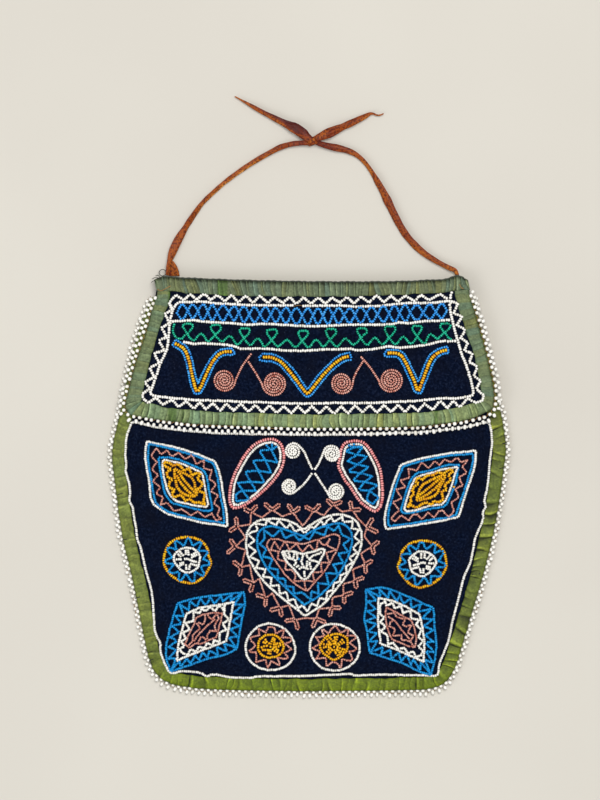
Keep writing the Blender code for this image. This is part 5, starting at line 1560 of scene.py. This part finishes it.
def make_border():
    """The white line round the body's beadwork."""
    rows = Beadwork("beads_border", "body_border_beads", "white_beads")
    rows.row(smooth(BORDER_PX, closed=True), "white", closed=True, wobble=0.12)
    rows.build()


def make_upper_diamond(side, outer_px, inner_px, zigzag_px, fill):
    """A leaf in a blue and a white line, with a zigzag and two more lines round it."""
    outer = Outline(outer_px)
    inner = Outline(inner_px)
    blue, white, rim, leaf, lines = fill
    step = 2.8 / width_between(outer, inner)
    name = f"{side}_upper_diamond"
    rows = Beadwork(f"beads_{name}_outer", f"{name}_outer_rows", "white_beads")
    rows.row(smooth(ring(outer, inner, 0), closed=True, steps=4), "white", closed=True)
    rows.row(smooth(ring(outer, inner, step), closed=True, steps=4), "cerulean", closed=True)
    rows.build()
    rows = Beadwork(f"beads_{name}_zigzag", f"{name}_zigzag", "rose_beads")
    rows.row(looped(zigzag_px), "rose")
    rows.build()
    rows = Beadwork(f"beads_{name}_inner", f"{name}_inner_rows", "cerulean_beads")
    rows.row(looped(blue, 2.0), "cerulean")
    rows.row(looped(white, 2.0), "white", width=SLIM_PX)
    if side == "right":
        rows.bead(STRAY_YELLOW_PX, "yellow", (0.3, 1))
    rows.build()
    rows = Beadwork(f"beads_{name}_leaf", f"{name}_leaf", "yellow_beads")
    for path in [looped(rim, 0.8), looped(leaf, 2.0)] + [smooth(line) for line in lines]:
        rows.row(path, "yellow", width=3.4)
    rows.build()


def make_lower_diamond(side, outer_px, middle_px, outer_teeth, fill):
    """A rose figure in a white and a blue line, each with teeth."""
    outer = Outline(outer_px)
    middle = Outline(middle_px)
    apexes, rim, lines = fill
    name = f"{side}_lower_diamond"
    rows = Beadwork(f"beads_{name}_outer", f"{name}_outer_ring", "cerulean_beads")
    rows.row(smooth(ring(outer, middle, 0), closed=True, steps=4), "cerulean", closed=True)
    gap = width_between(outer, middle)
    rows.row(zigzag(outer, middle, 1.2 / gap, 1 - 2.0 / gap, outer_teeth), "cerulean")
    rows.build()
    rows = Beadwork(f"beads_{name}_middle", f"{name}_middle_ring", "white_beads")
    line = smooth(ring(middle, outer, 0), closed=True, steps=4)
    rows.row(line, "white", closed=True)
    rows.row(teeth(apexes, line, 1.3), "white")
    rows.build()
    rows = Beadwork(f"beads_{name}_leaf", f"{name}_leaf", "rose_beads")
    for path in [looped(rim)] + [straight(line) for line in lines]:
        rows.row(path, "rose")
    rows.build()


def make_side_rosette(side):
    """A yellow ring, a blue zigzag with blunt tips and a white wheel."""
    def placed(points):
        points = np.array(points, float)
        if side == "right":
            return (points - ROSETTES_PX["left"]) * (-1.03, 1.0) + ROSETTES_PX["right"]
        return points

    name = f"{side}_rosette"
    rows = Beadwork(f"beads_{name}_ring", f"{name}_ring", "yellow_beads")
    rows.row(smooth(placed(ROSETTE_RING_PX), closed=True, steps=4), "yellow", closed=True, width=3.3)
    rows.build()
    rows = Beadwork(f"beads_{name}_zigzag", f"{name}_zigzag", "cerulean_beads")
    points = []
    for i, point in enumerate(placed(ROSETTE_TEETH_PX)):
        if i % 2 == 0:
            out = towards(ROSETTES_PX[side], point)
            across = sideways(out) * (1 if side == "left" else -1)
            points += [point + out * 0.9 - across * 1.5, point + out * 0.9 + across * 1.5]
        else:
            points.append(point)
    rows.row(looped(points, 0.6), "cerulean")
    rows.build()
    rows = Beadwork(f"beads_{name}_wheel", f"{name}_wheel", "white_beads")
    rows.row(looped(placed(WHEEL_PX), 1.5), "white")
    for spoke in SPOKES_PX:
        rows.row(placed(spoke), "white")
    rows.build()


def make_foot_rosette(side, fill):
    """A white ring, a rose zigzag and a yellow disc with spokes of two rows each."""
    centre, radius_x, radius_y = FOOT_ROSETTES_PX[side]
    zigzag_px, ring_px, middle, spokes = fill
    name = f"{side}_foot_rosette"
    rows = Beadwork(f"beads_{name}_ring", f"{name}_ring", "white_beads")
    rows.row(circle(centre, radius_x, radius_y, wobble=0.015), "white", closed=True)
    rows.build()
    rows = Beadwork(f"beads_{name}_zigzag", f"{name}_zigzag", "rose_beads")
    rows.row(looped(zigzag_px), "rose")
    rows.build()
    rows = Beadwork(f"beads_{name}_disc", f"{name}_disc", "yellow_beads")
    rows.row(smooth(ring_px, closed=True, steps=5), "yellow", closed=True)
    for tip in spokes:
        ahead = towards(middle, tip)
        for shift in (-1.35, 1.35):
            beside = sideways(ahead) * shift
            ends = np.array([middle + ahead * 2.2 + beside, tip + ahead * 1.6 + beside])
            rows.row(ends, "yellow", wobble=0.3, loose=0.12)
    rows.bead(middle, "yellow")
    rows.build()


def make_leaf(side, rim_px, crossings, sides):
    """A coral and a white line round a leaf, with two blue zigzags that cross inside it."""
    name = f"{side}_leaf"
    rows = Beadwork(f"beads_{name}_rim", f"{name}_rim", "coral_beads")
    rim = smooth(rim_px, closed=True)
    rows.row(rim, "coral", closed=True, wobble=0.08)
    area = np.sum(rim[:, 0] * np.roll(rim[:, 1], -1) - np.roll(rim[:, 0], -1) * rim[:, 1])
    rows.row(offset(rim, -3.3 if area > 0 else 3.3), "white", closed=True)
    rows.build()
    rows = Beadwork(f"beads_{name}_lattice", f"{name}_lattice", "cerulean_beads")
    for first in (0, 1):
        points = [crossings[0]]
        for i, crossing in enumerate(crossings[1:]):
            points += [sides[(i + first) % 2][i], crossing]
        rows.row(straight(points, 0.9), "cerulean")
    top = np.array(crossings[-1] if side == "left" else crossings[0], float)
    for x, y in LEAF_TIPS_PX:
        rows.row(np.array([top, top + ((x, y) if side == "left" else (x + 0.6, y + 2.6))]), "cerulean")
    rows.build()


def make_cross():
    """Four white discs, each wound from an arm of the cross between them."""
    rows = Beadwork("beads_scroll_cross", "scroll_cross_beads", "white_beads")
    for disc, radius, arm, sense in CROSS_PX:
        angle = math.degrees(math.atan2(arm[0][1] - disc[1], arm[0][0] - disc[0]))
        winding = spiral(disc, radius, 3.4, angle, -sense, 2.45)
        rows.row(np.vstack([smooth(arm[::-1])[:-8], winding]), "white", width=SLIM_PX, wobble=0.12)
    rows.build()


def make_heart():
    """A heart of four closed lines inside each other, with teeth between them and beads at its core."""
    outer, middle, inner = (Outline(sides) for sides in (HEART_OUTER_PX, HEART_MIDDLE_PX, HEART_INNER_PX))
    blue_apexes, rim, rose_teeth, core, strings = HEART_FILL
    rows = Beadwork("beads_heart_outer_ring", "heart_outer_ring", "white_beads")
    rows.row(smooth(ring(outer, middle, 0, 24), closed=True, steps=3), "white", closed=True)
    gap = width_between(outer, middle)
    points = zigzag(outer, middle, 1.5 / gap, 1 - 2.3 / gap, (14, 15), jitter=0.25, start=0.25)
    rows.row(points, "white", width=SLIM_PX)
    rows.build()
    rows = Beadwork("beads_heart_middle_ring", "heart_middle_ring", "cerulean_beads")
    line = smooth(ring(middle, inner, 0, 24), closed=True, steps=3)
    rows.row(line, "cerulean", closed=True)
    rows.row(teeth(blue_apexes, line, 1.4), "cerulean")
    rows.build()
    rows = Beadwork("beads_heart_inner_ring", "heart_inner_ring", "rose_beads")
    for path in (looped(rim, 2.0), looped(rose_teeth), HEART_FOOT_PX):
        rows.row(path, "rose")
    rows.build()
    rows = Beadwork("beads_heart_core", "heart_core", "white_beads")
    rows.row(looped(core, 1.5), "white")
    for string in strings:
        rows.row(string, "white", width=SLIM_PX)
    rows.bead(STRAY_BLUE_PX, "cerulean", (1, 0.4), width=2.8, lift=0.3 * MM)
    rows.build()


def make_sprigs():
    """A rose zigzag round the heart, with two petals at each of its tips."""
    rows = Beadwork("beads_heart_sprigs", "heart_sprigs", "rose_beads")
    points = [place for pair in zip(SPRIG_APEXES_PX, SPRIG_FEET_PX) for place in pair]
    rows.row(straight(points + points[:1], 0.8), "rose")
    for apex, tips in zip(SPRIG_APEXES_PX, SPRIG_PETALS_PX):
        for tip in tips:
            ahead = towards(apex, tip)
            across = sideways(ahead)
            far = tip - ahead * 0.6
            for shift in (-1.55, 1.55):
                near = apex + ahead * 1.2 + across * shift * 0.9
                rows.row(np.array([near, far + across * shift]), "rose", wobble=0.08)
            rows.bead(far + ahead * 0.4, "rose", across, width=2.0, length=2.2)
    rows.build()


# Picot edgings

EDGING_PITCH_PX = 6.15
FRAME_THREAD_PX = [(290, 306), (294, 306.4), (298, 305.6), (303, 306)]
FLAP_PICOT_PX = [
    (157, 294.5), (152.5, 305), (149, 314), (146, 325), (142, 337), (138, 349), (134.5, 360), (131.2, 372),
    (128, 384), (125.5, 394), (123.8, 404), (124.5, 411.5), (129, 415.5), (138, 417.5), (150, 419.8),
    (162, 421.8), (176, 423.8), (194, 425.8), (229, 427.3), (310, 429.3), (408, 428.5), (433, 426.8),
    (453, 424.3), (472, 420.8), (487, 416.5), (494.5, 408.5), (496, 396), (495.5, 385), (493, 372),
    (490, 360), (487, 348), (484, 336), (480.5, 324), (476.5, 312), (473, 302), (469.5, 293),
]


def make_edging(name, node, path, surface, size, stand, foot_stand):
    """Beads sewn along an edge, with a second row of them standing off between, longer along the foot."""
    rows = Beadwork(name, node, "white_beads", surface)
    line = smooth(path)
    count = int(lengths(line)[-1] / EDGING_PITCH_PX)
    for share in (np.arange(count) + 0.5) / count:
        share = share + dice.normal(0, 0.06) / count
        here = along(line, [share])[0]
        ahead = along(line, [min(share + 0.002, 1)])[0] - along(line, [max(share - 0.002, 0)])[0]
        ahead /= np.linalg.norm(ahead)
        out = sideways(ahead)
        skew = dice.normal(0, 0.25, 2) * 0.5
        foot = ease((abs(ahead[0]) - 0.55) / 0.35)
        near = here + out * (0.1 - 0.4 * foot) + skew
        rows.bead(near, "picot", ahead, width=size, length=size * 0.92, lift=0.2 * MM)
        stand_off = stand * (1 - foot) + foot_stand * foot + dice.normal(0, 0.2)
        far = here + ahead * EDGING_PITCH_PX * 0.5 + out * stand_off + skew
        leaning = out + ahead * dice.normal(0, 0.22)
        rows.bead(far, "picot", leaning, width=size * 0.95, length=size * (0.97 + 0.25 * foot))
    rows.build()


def flap_edging_level(places):
    return flap_bottom(places) - 0.35 * MM


def tube(name, paths, radius, material, sides=5):
    """Round threads along paths of places, all in one piece."""
    turn = 2 * math.pi * np.arange(sides) / sides
    cos = np.cos(turn)[None, :, None]
    sin = np.sin(turn)[None, :, None]
    points = []
    faces = []
    first = 0
    for path in paths:
        ahead = np.gradient(path, axis=0)
        ahead /= np.linalg.norm(ahead, axis=1)[:, None] + TINY
        side = np.cross(ahead, np.array([0.05, 0.02, 1.0]))
        side /= np.linalg.norm(side, axis=1)[:, None] + TINY
        up = np.cross(side, ahead)
        points.append((path[:, None] + radius * (side[:, None] * cos + up[:, None] * sin)).reshape(-1, 3))
        faces.append(grid_faces(len(path), sides, closed_columns=True, first=first))
        first += len(path) * sides
    add_piece(name, np.vstack(points), np.vstack(faces), [material])


def lifted(path_px, surface, lift):
    """A path in pixels, laid on a surface and raised."""
    places = spot(path_px)
    return np.column_stack([places, surface(places) + lift])


def waving(line, shift=0.0):
    """A line in pixels that winds from side to side, as the thread between edging beads does."""
    wave = np.sin(lengths(line) / 6.2 * 2 * math.pi)
    return line + left_normals(line) * (wave * -1.1 - shift)[:, None]


def make_edgings():
    """The picot beads round the body and round the flap, and the thread that holds them."""
    edge = smooth(BODY_EDGE_PX)
    outside = offset(edge, -0.8, closed=False, keep=0.5)[::6]
    make_edging(
        "beads_body_edging", "body_edging_beads", outside, level_at(1.2 * MM), size=3.6, stand=2.2,
        foot_stand=3.1,
    )
    make_edging(
        "beads_flap_edging", "flap_edging_beads", FLAP_PICOT_PX, flap_edging_level, size=3.8, stand=3.3,
        foot_stand=4.3,
    )
    body = smooth(offset(edge, -2.2, closed=False, keep=0.5)[::6], steps=6)
    threads = [
        lifted(waving(body), level_at(1.2 * MM), 0.62 * MM),
        lifted(waving(smooth(FLAP_PICOT_PX, steps=16), 1.3), flap_edging_level, 0.62 * MM),
        lifted(smooth(FRAME_THREAD_PX), flap_top, 0.55 * MM),
    ]
    tube("edging_thread", threads, 0.13 * MM, OCHRE_THREAD)


# Strap

STRIP_ROWS = 420
STRIP_LINES = 11
KNOT_PX = (312.2, 142.2)
FOLD_PX = [
    (168.2, 275.8), (168.6, 268), (170.4, 263), (172, 260.4), (175.6, 264.6), (178, 269.5), (179.4, 275.8),
]
# Pixel place, height above the table in mm, width in pixels, lean in degrees
STRAP_LEFT = [
    (167, 275.4, 3.4, 3.6, 50), (168.2, 266, 2.9, 4.6, 40), (170.4, 257, 2.4, 7.0, 22),
    (173.8, 248, 2.1, 9.2, 10), (178.5, 238.5, 1.9, 8.6, 14), (183.6, 230, 1.8, 6.9, 26),
    (189.4, 220.8, 1.8, 6.0, 34), (196.5, 210.5, 1.8, 5.2, 34), (204, 201, 1.8, 4.8, 30),
    (221, 185.2, 1.8, 4.6, 26), (233, 175.8, 1.9, 4.5, 24), (245.4, 167.1, 2.0, 4.7, 20),
    (258, 159.2, 2.1, 5.2, 14), (269.7, 152.6, 2.2, 5.5, 10), (281, 147, 2.4, 5.8, 4),
    (292, 144, 2.6, 5.6, 0), (302, 143, 2.8, 5.4, 0), (309, 142.4, 3.1, 6.0, 0), (315, 139.6, 3.4, 7.0, 6),
    (321, 136.6, 3.6, 8.6, 10), (328, 133.6, 3.6, 10.6, 8), (335.5, 130.2, 3.3, 9.6, 10),
    (343, 126.8, 2.9, 7.6, 14), (351, 123.2, 2.6, 7.4, 6), (359, 119.4, 2.3, 7.0, 2),
    (365.5, 116.2, 2.0, 5.6, 0), (370, 113.8, 1.9, 3.8, 10), (373.5, 113.6, 1.8, 2.2, 20),
    (377, 115, 1.7, 1.8, 0), (380.5, 115, 1.6, 1.6, 0), (384, 113.4, 1.5, 1.4, 0),
]
STRAP_RIGHT = [
    (458.2, 276.6, 3.6, 3.2, 30), (455.6, 270.8, 3.2, 4.8, 24), (450, 268, 2.7, 5.6, 18),
    (443, 264.6, 2.3, 5.6, 16), (434.5, 259.8, 2.1, 6.0, 16), (425, 253.6, 1.9, 6.6, 18),
    (415.5, 245.4, 1.8, 7.2, 20), (407.5, 236.4, 1.8, 7.4, 22), (400.6, 226, 1.8, 7.8, 20),
    (394.6, 214.5, 1.8, 8.4, 14), (389, 203, 1.8, 8.6, 12), (383, 191, 1.8, 7.2, 20),
    (376.5, 179.5, 1.8, 5.2, 32), (370, 168.8, 1.8, 4.6, 32), (363, 160.2, 1.8, 4.8, 26),
    (355, 153.8, 1.9, 5.4, 18), (346.5, 150.2, 2.0, 6.4, 10), (337.5, 148, 2.2, 7.2, 4),
    (329, 146.2, 2.5, 7.0, 0), (321, 144, 2.9, 6.0, 0), (314.4, 141.2, 3.5, 6.0, 0),
    (308, 138, 3.8, 8.0, 0), (302.6, 133.4, 3.7, 11.6, 6), (297, 129.4, 3.4, 12.4, 8),
    (290, 125.9, 3.0, 9.6, 10), (282, 122, 2.7, 7.0, 10), (273, 117.4, 2.4, 5.8, 8),
    (263, 112.3, 2.1, 4.9, 8), (254, 107.3, 1.9, 4.1, 6), (246.5, 103, 1.7, 3.0, 6),
    (240, 99.3, 1.6, 1.9, 0), (234.5, 96.2, 1.5, 1.5, 0),
]


# Share of the length, then the painted light on the facet to the left and on the facet to the right of the
# strap's fold along it: low is painted shade, high is painted ochre highlight
STRAP_LEFT_FACET_LIGHT = [
    (0.0, 0.62, 0.68), (0.12, 0.50, 0.56), (0.25, 0.54, 0.66), (0.36, 0.58, 0.90), (0.48, 0.56, 0.88),
    (0.58, 0.50, 0.58), (0.68, 0.46, 0.36), (0.75, 0.50, 0.40), (0.82, 0.62, 0.42), (0.90, 0.40, 0.62),
    (1.0, 0.62, 0.62),
]
STRAP_RIGHT_FACET_LIGHT = [
    (0.0, 0.76, 0.66), (0.08, 0.64, 0.52), (0.20, 0.62, 0.42), (0.32, 0.52, 0.46), (0.42, 0.62, 0.50),
    (0.50, 0.72, 0.62), (0.58, 0.50, 0.40), (0.66, 0.28, 0.30), (0.72, 0.40, 0.22), (0.77, 0.70, 0.04),
    (0.86, 0.64, 0.12), (0.92, 0.58, 0.44), (1.0, 0.80, 0.74),
]


def ribbon_strip(route, tones, seed, fold_side):
    """A narrow silk ribbon, creased along its length and leaning as it goes."""
    own = np.random.default_rng(seed)
    dense = smooth(route, steps=12)
    reach = lengths(dense[:, :2])
    shares = np.linspace(0, 1, STRIP_ROWS)
    dense = np.stack([np.interp(shares * reach[-1], reach, dense[:, k]) for k in range(5)], 1)
    centre = np.column_stack([spot(dense[:, :2]), dense[:, 2] * MM])
    ahead = np.gradient(centre, axis=0)
    ahead /= np.linalg.norm(ahead, axis=1)[:, None]
    side = np.cross(np.array([0, 0, 1.0]), ahead)
    side /= np.linalg.norm(side, axis=1)[:, None]
    up = np.cross(ahead, side)
    knots = np.linspace(0, 1, 40)
    sway = np.interp(shares, knots, own.normal(0, 7, 40))
    lean = np.radians(dense[:, 4] + sway) * fold_side
    half = 0.93 * dense[:, 3] * PX / 2 / np.cos(np.clip(np.abs(lean), 0, 1.0))
    half *= 1 + np.interp(shares, knots, own.normal(0, 0.05, 40))
    half = np.minimum(half, 2.35 * MM)
    across = side * np.cos(lean)[:, None] + up * np.sin(lean)[:, None]
    normal = -side * np.sin(lean)[:, None] + up * np.cos(lean)[:, None]
    lines = own.uniform(0, 1, STRIP_LINES)
    folds = [
        np.interp(shares, np.linspace(0, 1, count), own.normal(0, 1, count)) for count in (22, 14, 60)
    ]
    thick = np.minimum(0.22 * MM, half * 0.5)
    parts, left_facet_lights, right_facet_lights = zip(*tones)
    left_facet_light = np.interp(shares, parts, left_facet_lights)
    right_facet_light = np.interp(shares, parts, right_facet_lights)
    crease_at = 0.35 * folds[0]
    profile = np.linspace(-1, 1, STRIP_LINES)
    rings = []
    painted_shadings = []
    streaks = []
    for face in (1, -1):
        for index in range(STRIP_LINES)[::face]:
            u = profile[index]
            ridge = 1 - np.abs(u - crease_at) / (1 + np.abs(crease_at))
            bulge = np.clip((0.26 * ridge + 0.06 * folds[2] * np.sin(u * 9)) * half, -1.2 * MM, 1.2 * MM)
            edge = abs(u) ** 6
            raised = bulge + face * thick * (0.25 + 0.75 * (1.0 - edge))
            rings.append(centre + across * (half * u)[:, None] + normal * raised[:, None])
            # Painted light: one facet of the fold lighter than the other, painted shade along the crease line
            # and at the edges, and small random tone lines along the strap
            tone = right_facet_light + (left_facet_light - right_facet_light) * (0.5 + 0.5 * np.tanh((u - crease_at) * 4))
            line = -0.14 * np.exp(-((u - crease_at) / 0.18) ** 2) - 0.14 * edge
            painted_shadings.append(np.clip(tone + line + 0.04 * folds[2] + 0.14 * (lines[index] - 0.5), 0, 1))
            streaks.append(np.clip(0.3 + 0.5 * lines[index] + 0.1 * folds[1], 0, 1))
    places = np.stack(rings, 1)
    places[..., 2] = np.maximum(places[..., 2], 0.15 * MM)
    for end, keep in ((0, 0.5), (-1, 0.15)):
        places[end] = centre[end] + (places[end] - centre[end]) * keep
    faces = grid_faces(*places.shape[:2], closed_columns=True)
    attributes = {"painted_shading": np.stack(painted_shadings, 1).ravel(), "streak": np.stack(streaks, 1).ravel()}
    return places.reshape(-1, 3), faces, attributes, centre


def make_strap():
    """The two ribbons of the strap, which cross in the knot, with the knot and the lobe at the left corner."""
    for name, route, tones, seed, fold_side, nodes in (
        ("strap_silk_left", STRAP_LEFT, STRAP_LEFT_FACET_LIGHT, 5, 1, ("strap_left", "strap_tail_right")),
        ("strap_silk_right", STRAP_RIGHT, STRAP_RIGHT_FACET_LIGHT, 8, -1, ("strap_right", "strap_tail_left")),
    ):
        places, faces, attributes, centre = ribbon_strip(route, tones, seed, fold_side)
        piece = add_piece(name, places, faces, [SILK], nodes, attributes=attributes)

    with_left = [make_knot(), make_fold()]


def make_fold():
    """The lobe of the strap that is turned over at its left fixing."""
    rows = 14
    columns = 40
    column = np.arange(columns)
    base = along(smooth(FOLD_PX), np.linspace(0, 1, columns))
    floor_line = np.linspace(base[0], base[-1], columns)
    rings = []
    for t in np.arange(rows) / (rows - 1):
        height = 0.7 + 1.0 * math.sin(math.pi * t * 0.6) + 0.15 * np.sin(column * 0.9)
        rings.append(np.column_stack([spot(base * (1 - t) + floor_line * t), height * MM]))
    upper = np.vstack(rings)
    lower = upper - np.array([0, 0, 0.35 * MM])
    faces = np.vstack([grid_faces(rows, columns), grid_faces(rows, columns, first=rows * columns)[:, ::-1]])
    # Painted shade on one side of the lobe, which is darker than the other
    painted_shading = np.tile(0.62 - 0.34 * (column < 12) + 0.06 * np.sin(column * 1.9), rows * 2)
    attributes = {"painted_shading": painted_shading, "streak": np.full(len(painted_shading), 0.4)}
    return add_piece(
        "strap_silk_fold", np.vstack([upper, lower]), faces, [SILK], ["strap_fold"],
        attributes=attributes,
    )


def make_knot():
    """The knot: a wrap of ribbon drawn tight round the crossing, with its folds."""
    turns = 40
    sides = 28
    tilt = math.radians(62)
    points = []
    painted_shadings = []
    streaks = []
    for u in 2 * math.pi * np.arange(turns) / turns:
        for v in 2 * math.pi * np.arange(sides) / sides:
            ridge = 0.10 * math.sin(3 * v + 1.5 * math.sin(u)) + 0.06 * math.sin(7 * v + 2 * u)
            tube_radius = (1.55 + 0.35 * math.cos(u + 0.6)) * (1 + ridge)
            ring_radius = 1.75 * (1 + 0.08 * math.sin(2 * u))
            x = math.cos(v) * tube_radius * 1.05
            reach = ring_radius + math.sin(v) * tube_radius * 0.72
            y = reach * math.cos(u)
            z = reach * math.sin(u) * 0.78
            turned_x = x * math.cos(tilt) + y * math.sin(tilt)
            turned_y = -x * math.sin(tilt) + y * math.cos(tilt)
            points.append((turned_x * MM * 0.92, turned_y * MM * 0.84, z * MM))
            # Painted light on the knot: lighter on its ridges and on one side of the wrap, painted shade in
            # its folds and on the other side
            painted_shadings.append(min(1, max(0, 0.36 + 1.5 * ridge + 0.20 * math.sin(v))))
            streaks.append(0.5 + 0.4 * math.sin(9 * v + u))
    points = np.array(points) + np.array([*spot(KNOT_PX), 2.7 * MM])
    points[:, 2] = np.maximum(points[:, 2], 0.12 * MM)
    faces = grid_faces(turns, sides, closed_rows=True, closed_columns=True)
    return add_piece(
        "strap_silk_knot", points, faces, [SILK], ["strap_knot"],
        attributes={"painted_shading": painted_shadings, "streak": streaks},
    )


# Loose threads and stitches

FRAYS_PX = (((157.5, 277.5), (152, 279)), ((156.5, 280), (151, 282.5)), ((159.5, 276.8), (155.5, 275.6)))
STITCHES_PX = (
    ((117.2, 494.5), (122.4, 493.2)), ((121.8, 540), (127, 538.8)), ((134.4, 598.2), (139.6, 596.8)),
    ((148.6, 660.8), (153, 658.6)), ((502.6, 443.5), (507, 442.4)), ((499.6, 468.6), (504, 467.4)),
    ((474, 573.6), (472.4, 575)), ((480.6, 572.8), (479.2, 574)),
)
OCHRE_THREADS_PX = (
    [(157.5, 289.5), (161, 291), (165.5, 289), (170.5, 286.2)], [(459.5, 284.5), (461, 287.8), (463.5, 289)],
)


def make_threads():
    """A dark strand along the top fold that stands for the fold's painted shade, a small loop of thread at the
    left corner, frayed ends and stitches.
    """
    count = 240
    step = np.arange(count)
    # A dark strand along the top fold, laid there as painted shade where the ribbon turns over the edge
    fold_shade = cut(TOP_EDGE, 0.03, 0.985, count) + np.array([0, -0.25 * MM])
    wave = 0.10 * MM * np.sin(step * 1.3) + 0.08 * MM * np.sin(step * 0.31)
    fold_shade = np.column_stack([fold_shade[:, 0], fold_shade[:, 1] + wave, np.full(count, 7.35 * MM)])
    tube("fold_shade_strand", [fold_shade], 0.34 * MM, FOLD_SHADE_DARK, 6)

    loop = circle((162.3, 272.7), 3.5, 3.2, 26)
    loop = np.vstack([loop, loop[:3]])
    threads = [np.column_stack([spot(loop), 3.0 * MM + 0.4 * MM * np.sin(np.arange(len(loop)) * 0.4)])]
    for start, end in FRAYS_PX:
        middle = ((start[0] + end[0]) / 2 + 0.5, (start[1] + end[1]) / 2 - 0.7)
        places = spot(smooth([start, middle, end]))
        threads.append(np.column_stack([places, np.linspace(6.0, 3.5, len(places)) * MM]))
    tube("dark_threads", threads, 0.16 * MM, DARK_THREAD)

    stitches = [lifted(np.linspace(*ends, 5), front_top, 0.72 * MM) for ends in STITCHES_PX]
    tube("dark_stitches", stitches, 0.2 * MM, DARK_THREAD)
    ochre = [lifted(smooth(line), flap_top, 0.85 * MM) for line in OCHRE_THREADS_PX]
    tube("ochre_threads", ochre, 0.18 * MM, OCHRE_THREAD)


# Stage, light and camera

FLOOR_TONES = [(0.35, (0.610, 0.588, 0.540)), (0.65, (0.650, 0.632, 0.580))]
# Each lamp's name, place, size, power and colour
LAMPS = (
    ("key", (0.15, 0.42, 1.75), 0.8, 22.0, (1.0, 0.975, 0.94)),
    ("fill", (-0.9, -0.6, 1.4), 1.2, 7.0, (0.98, 0.99, 1.0)),
)
LAMP_AIM = (0.0, 0.03, 0.0)


def make_stage():
    """The pale floor, the even light of the room and two lamps."""
    bpy.ops.mesh.primitive_plane_add(size=8, location=(0, 0, -0.2 * MM))
    floor = bpy.context.object
    floor.name = "floor"
    shader = Shader("paper", Roughness=0.9, Specular_IOR_Level=0.1)
    colour = shader.ramp(shader.noise(3.5, 3, 0.5), FLOOR_TONES)
    shader.bump(shader.noise(900, 2, 0.5), 0.04, 0.0004)
    floor.data.materials.append(shader.paint(colour))

    world = bpy.data.worlds.new("studio")
    bpy.context.scene.world = world
    world.use_nodes = True
    back = world.node_tree.nodes["Background"]
    back.inputs["Color"].default_value = (1.0, 0.985, 0.955, 1.0)
    back.inputs["Strength"].default_value = 0.42

    for name, place, size, power, tint in LAMPS:
        data = bpy.data.lights.new(name, "AREA")
        data.shape = "DISK"
        data.size = size
        data.energy = power
        data.color = tint
        lamp = bpy.data.objects.new(name, data)
        bpy.context.collection.objects.link(lamp)
        lamp.location = place
        lamp.rotation_mode = "QUATERNION"
        lamp.rotation_quaternion = (Vector(LAMP_AIM) - Vector(place)).to_track_quat("-Z", "Y")

    bpy.context.scene.view_settings.view_transform = "Standard"


def make_camera():
    """The camera looks straight down, with the photograph's frame."""
    data = bpy.data.cameras.new("camera")
    camera = bpy.data.objects.new("camera", data)
    bpy.context.collection.objects.link(camera)
    bpy.context.scene.camera = camera
    middle = spot([IMAGE_PX[0] / 2, IMAGE_PX[1] / 2])
    camera.location = (middle[0], middle[1], CAMERA_DISTANCE)
    tall = IMAGE_PX[1] * (POUCH_HEIGHT / HEIGHT_PX + POUCH_WIDTH / WIDTH_PX) / 2
    data.sensor_width = SENSOR_WIDTH
    data.lens = SENSOR_WIDTH * (CAMERA_DISTANCE - 5 * MM) / tall
    data.clip_end = 20


def main():
    make_camera()
    make_strap()
    back, front, flap = make_panels()
    declare_sheet(back)
    declare_sheet(front)
    declare_sheet(flap)
    for ribbon, (panel, width, length) in zip(make_bindings(), RIBBONS):
        declare_sheet(ribbon, (width, length))
    make_flap_frame()
    make_flap_lattice()
    make_flap_loops()
    make_chevrons()
    make_flap_scrolls()
    make_border()
    make_upper_diamond(
        "left", UPPER_LEFT_OUTER_PX, UPPER_LEFT_INNER_PX, UPPER_LEFT_ZIGZAG_PX, UPPER_LEFT_FILL,
    )
    make_upper_diamond(
        "right", UPPER_RIGHT_OUTER_PX, UPPER_RIGHT_INNER_PX, UPPER_RIGHT_ZIGZAG_PX, UPPER_RIGHT_FILL,
    )
    make_lower_diamond("left", LOWER_LEFT_OUTER_PX, LOWER_LEFT_MIDDLE_PX, (6, 5, 7, 6), LOWER_LEFT_FILL)
    make_lower_diamond("right", LOWER_RIGHT_OUTER_PX, LOWER_RIGHT_MIDDLE_PX, (6, 6, 6, 6), LOWER_RIGHT_FILL)
    make_side_rosette("left")
    make_side_rosette("right")
    make_foot_rosette("left", FOOT_LEFT_FILL)
    make_foot_rosette("right", FOOT_RIGHT_FILL)
    make_leaf("left", LEFT_LEAF_PX, LEFT_CROSSINGS_PX, LEFT_SIDE_PX)
    make_leaf("right", RIGHT_LEAF_PX, RIGHT_CROSSINGS_PX, RIGHT_SIDE_PX)
    make_cross()
    make_heart()
    make_sprigs()
    make_edgings()
    make_threads()
    make_stage()


main()
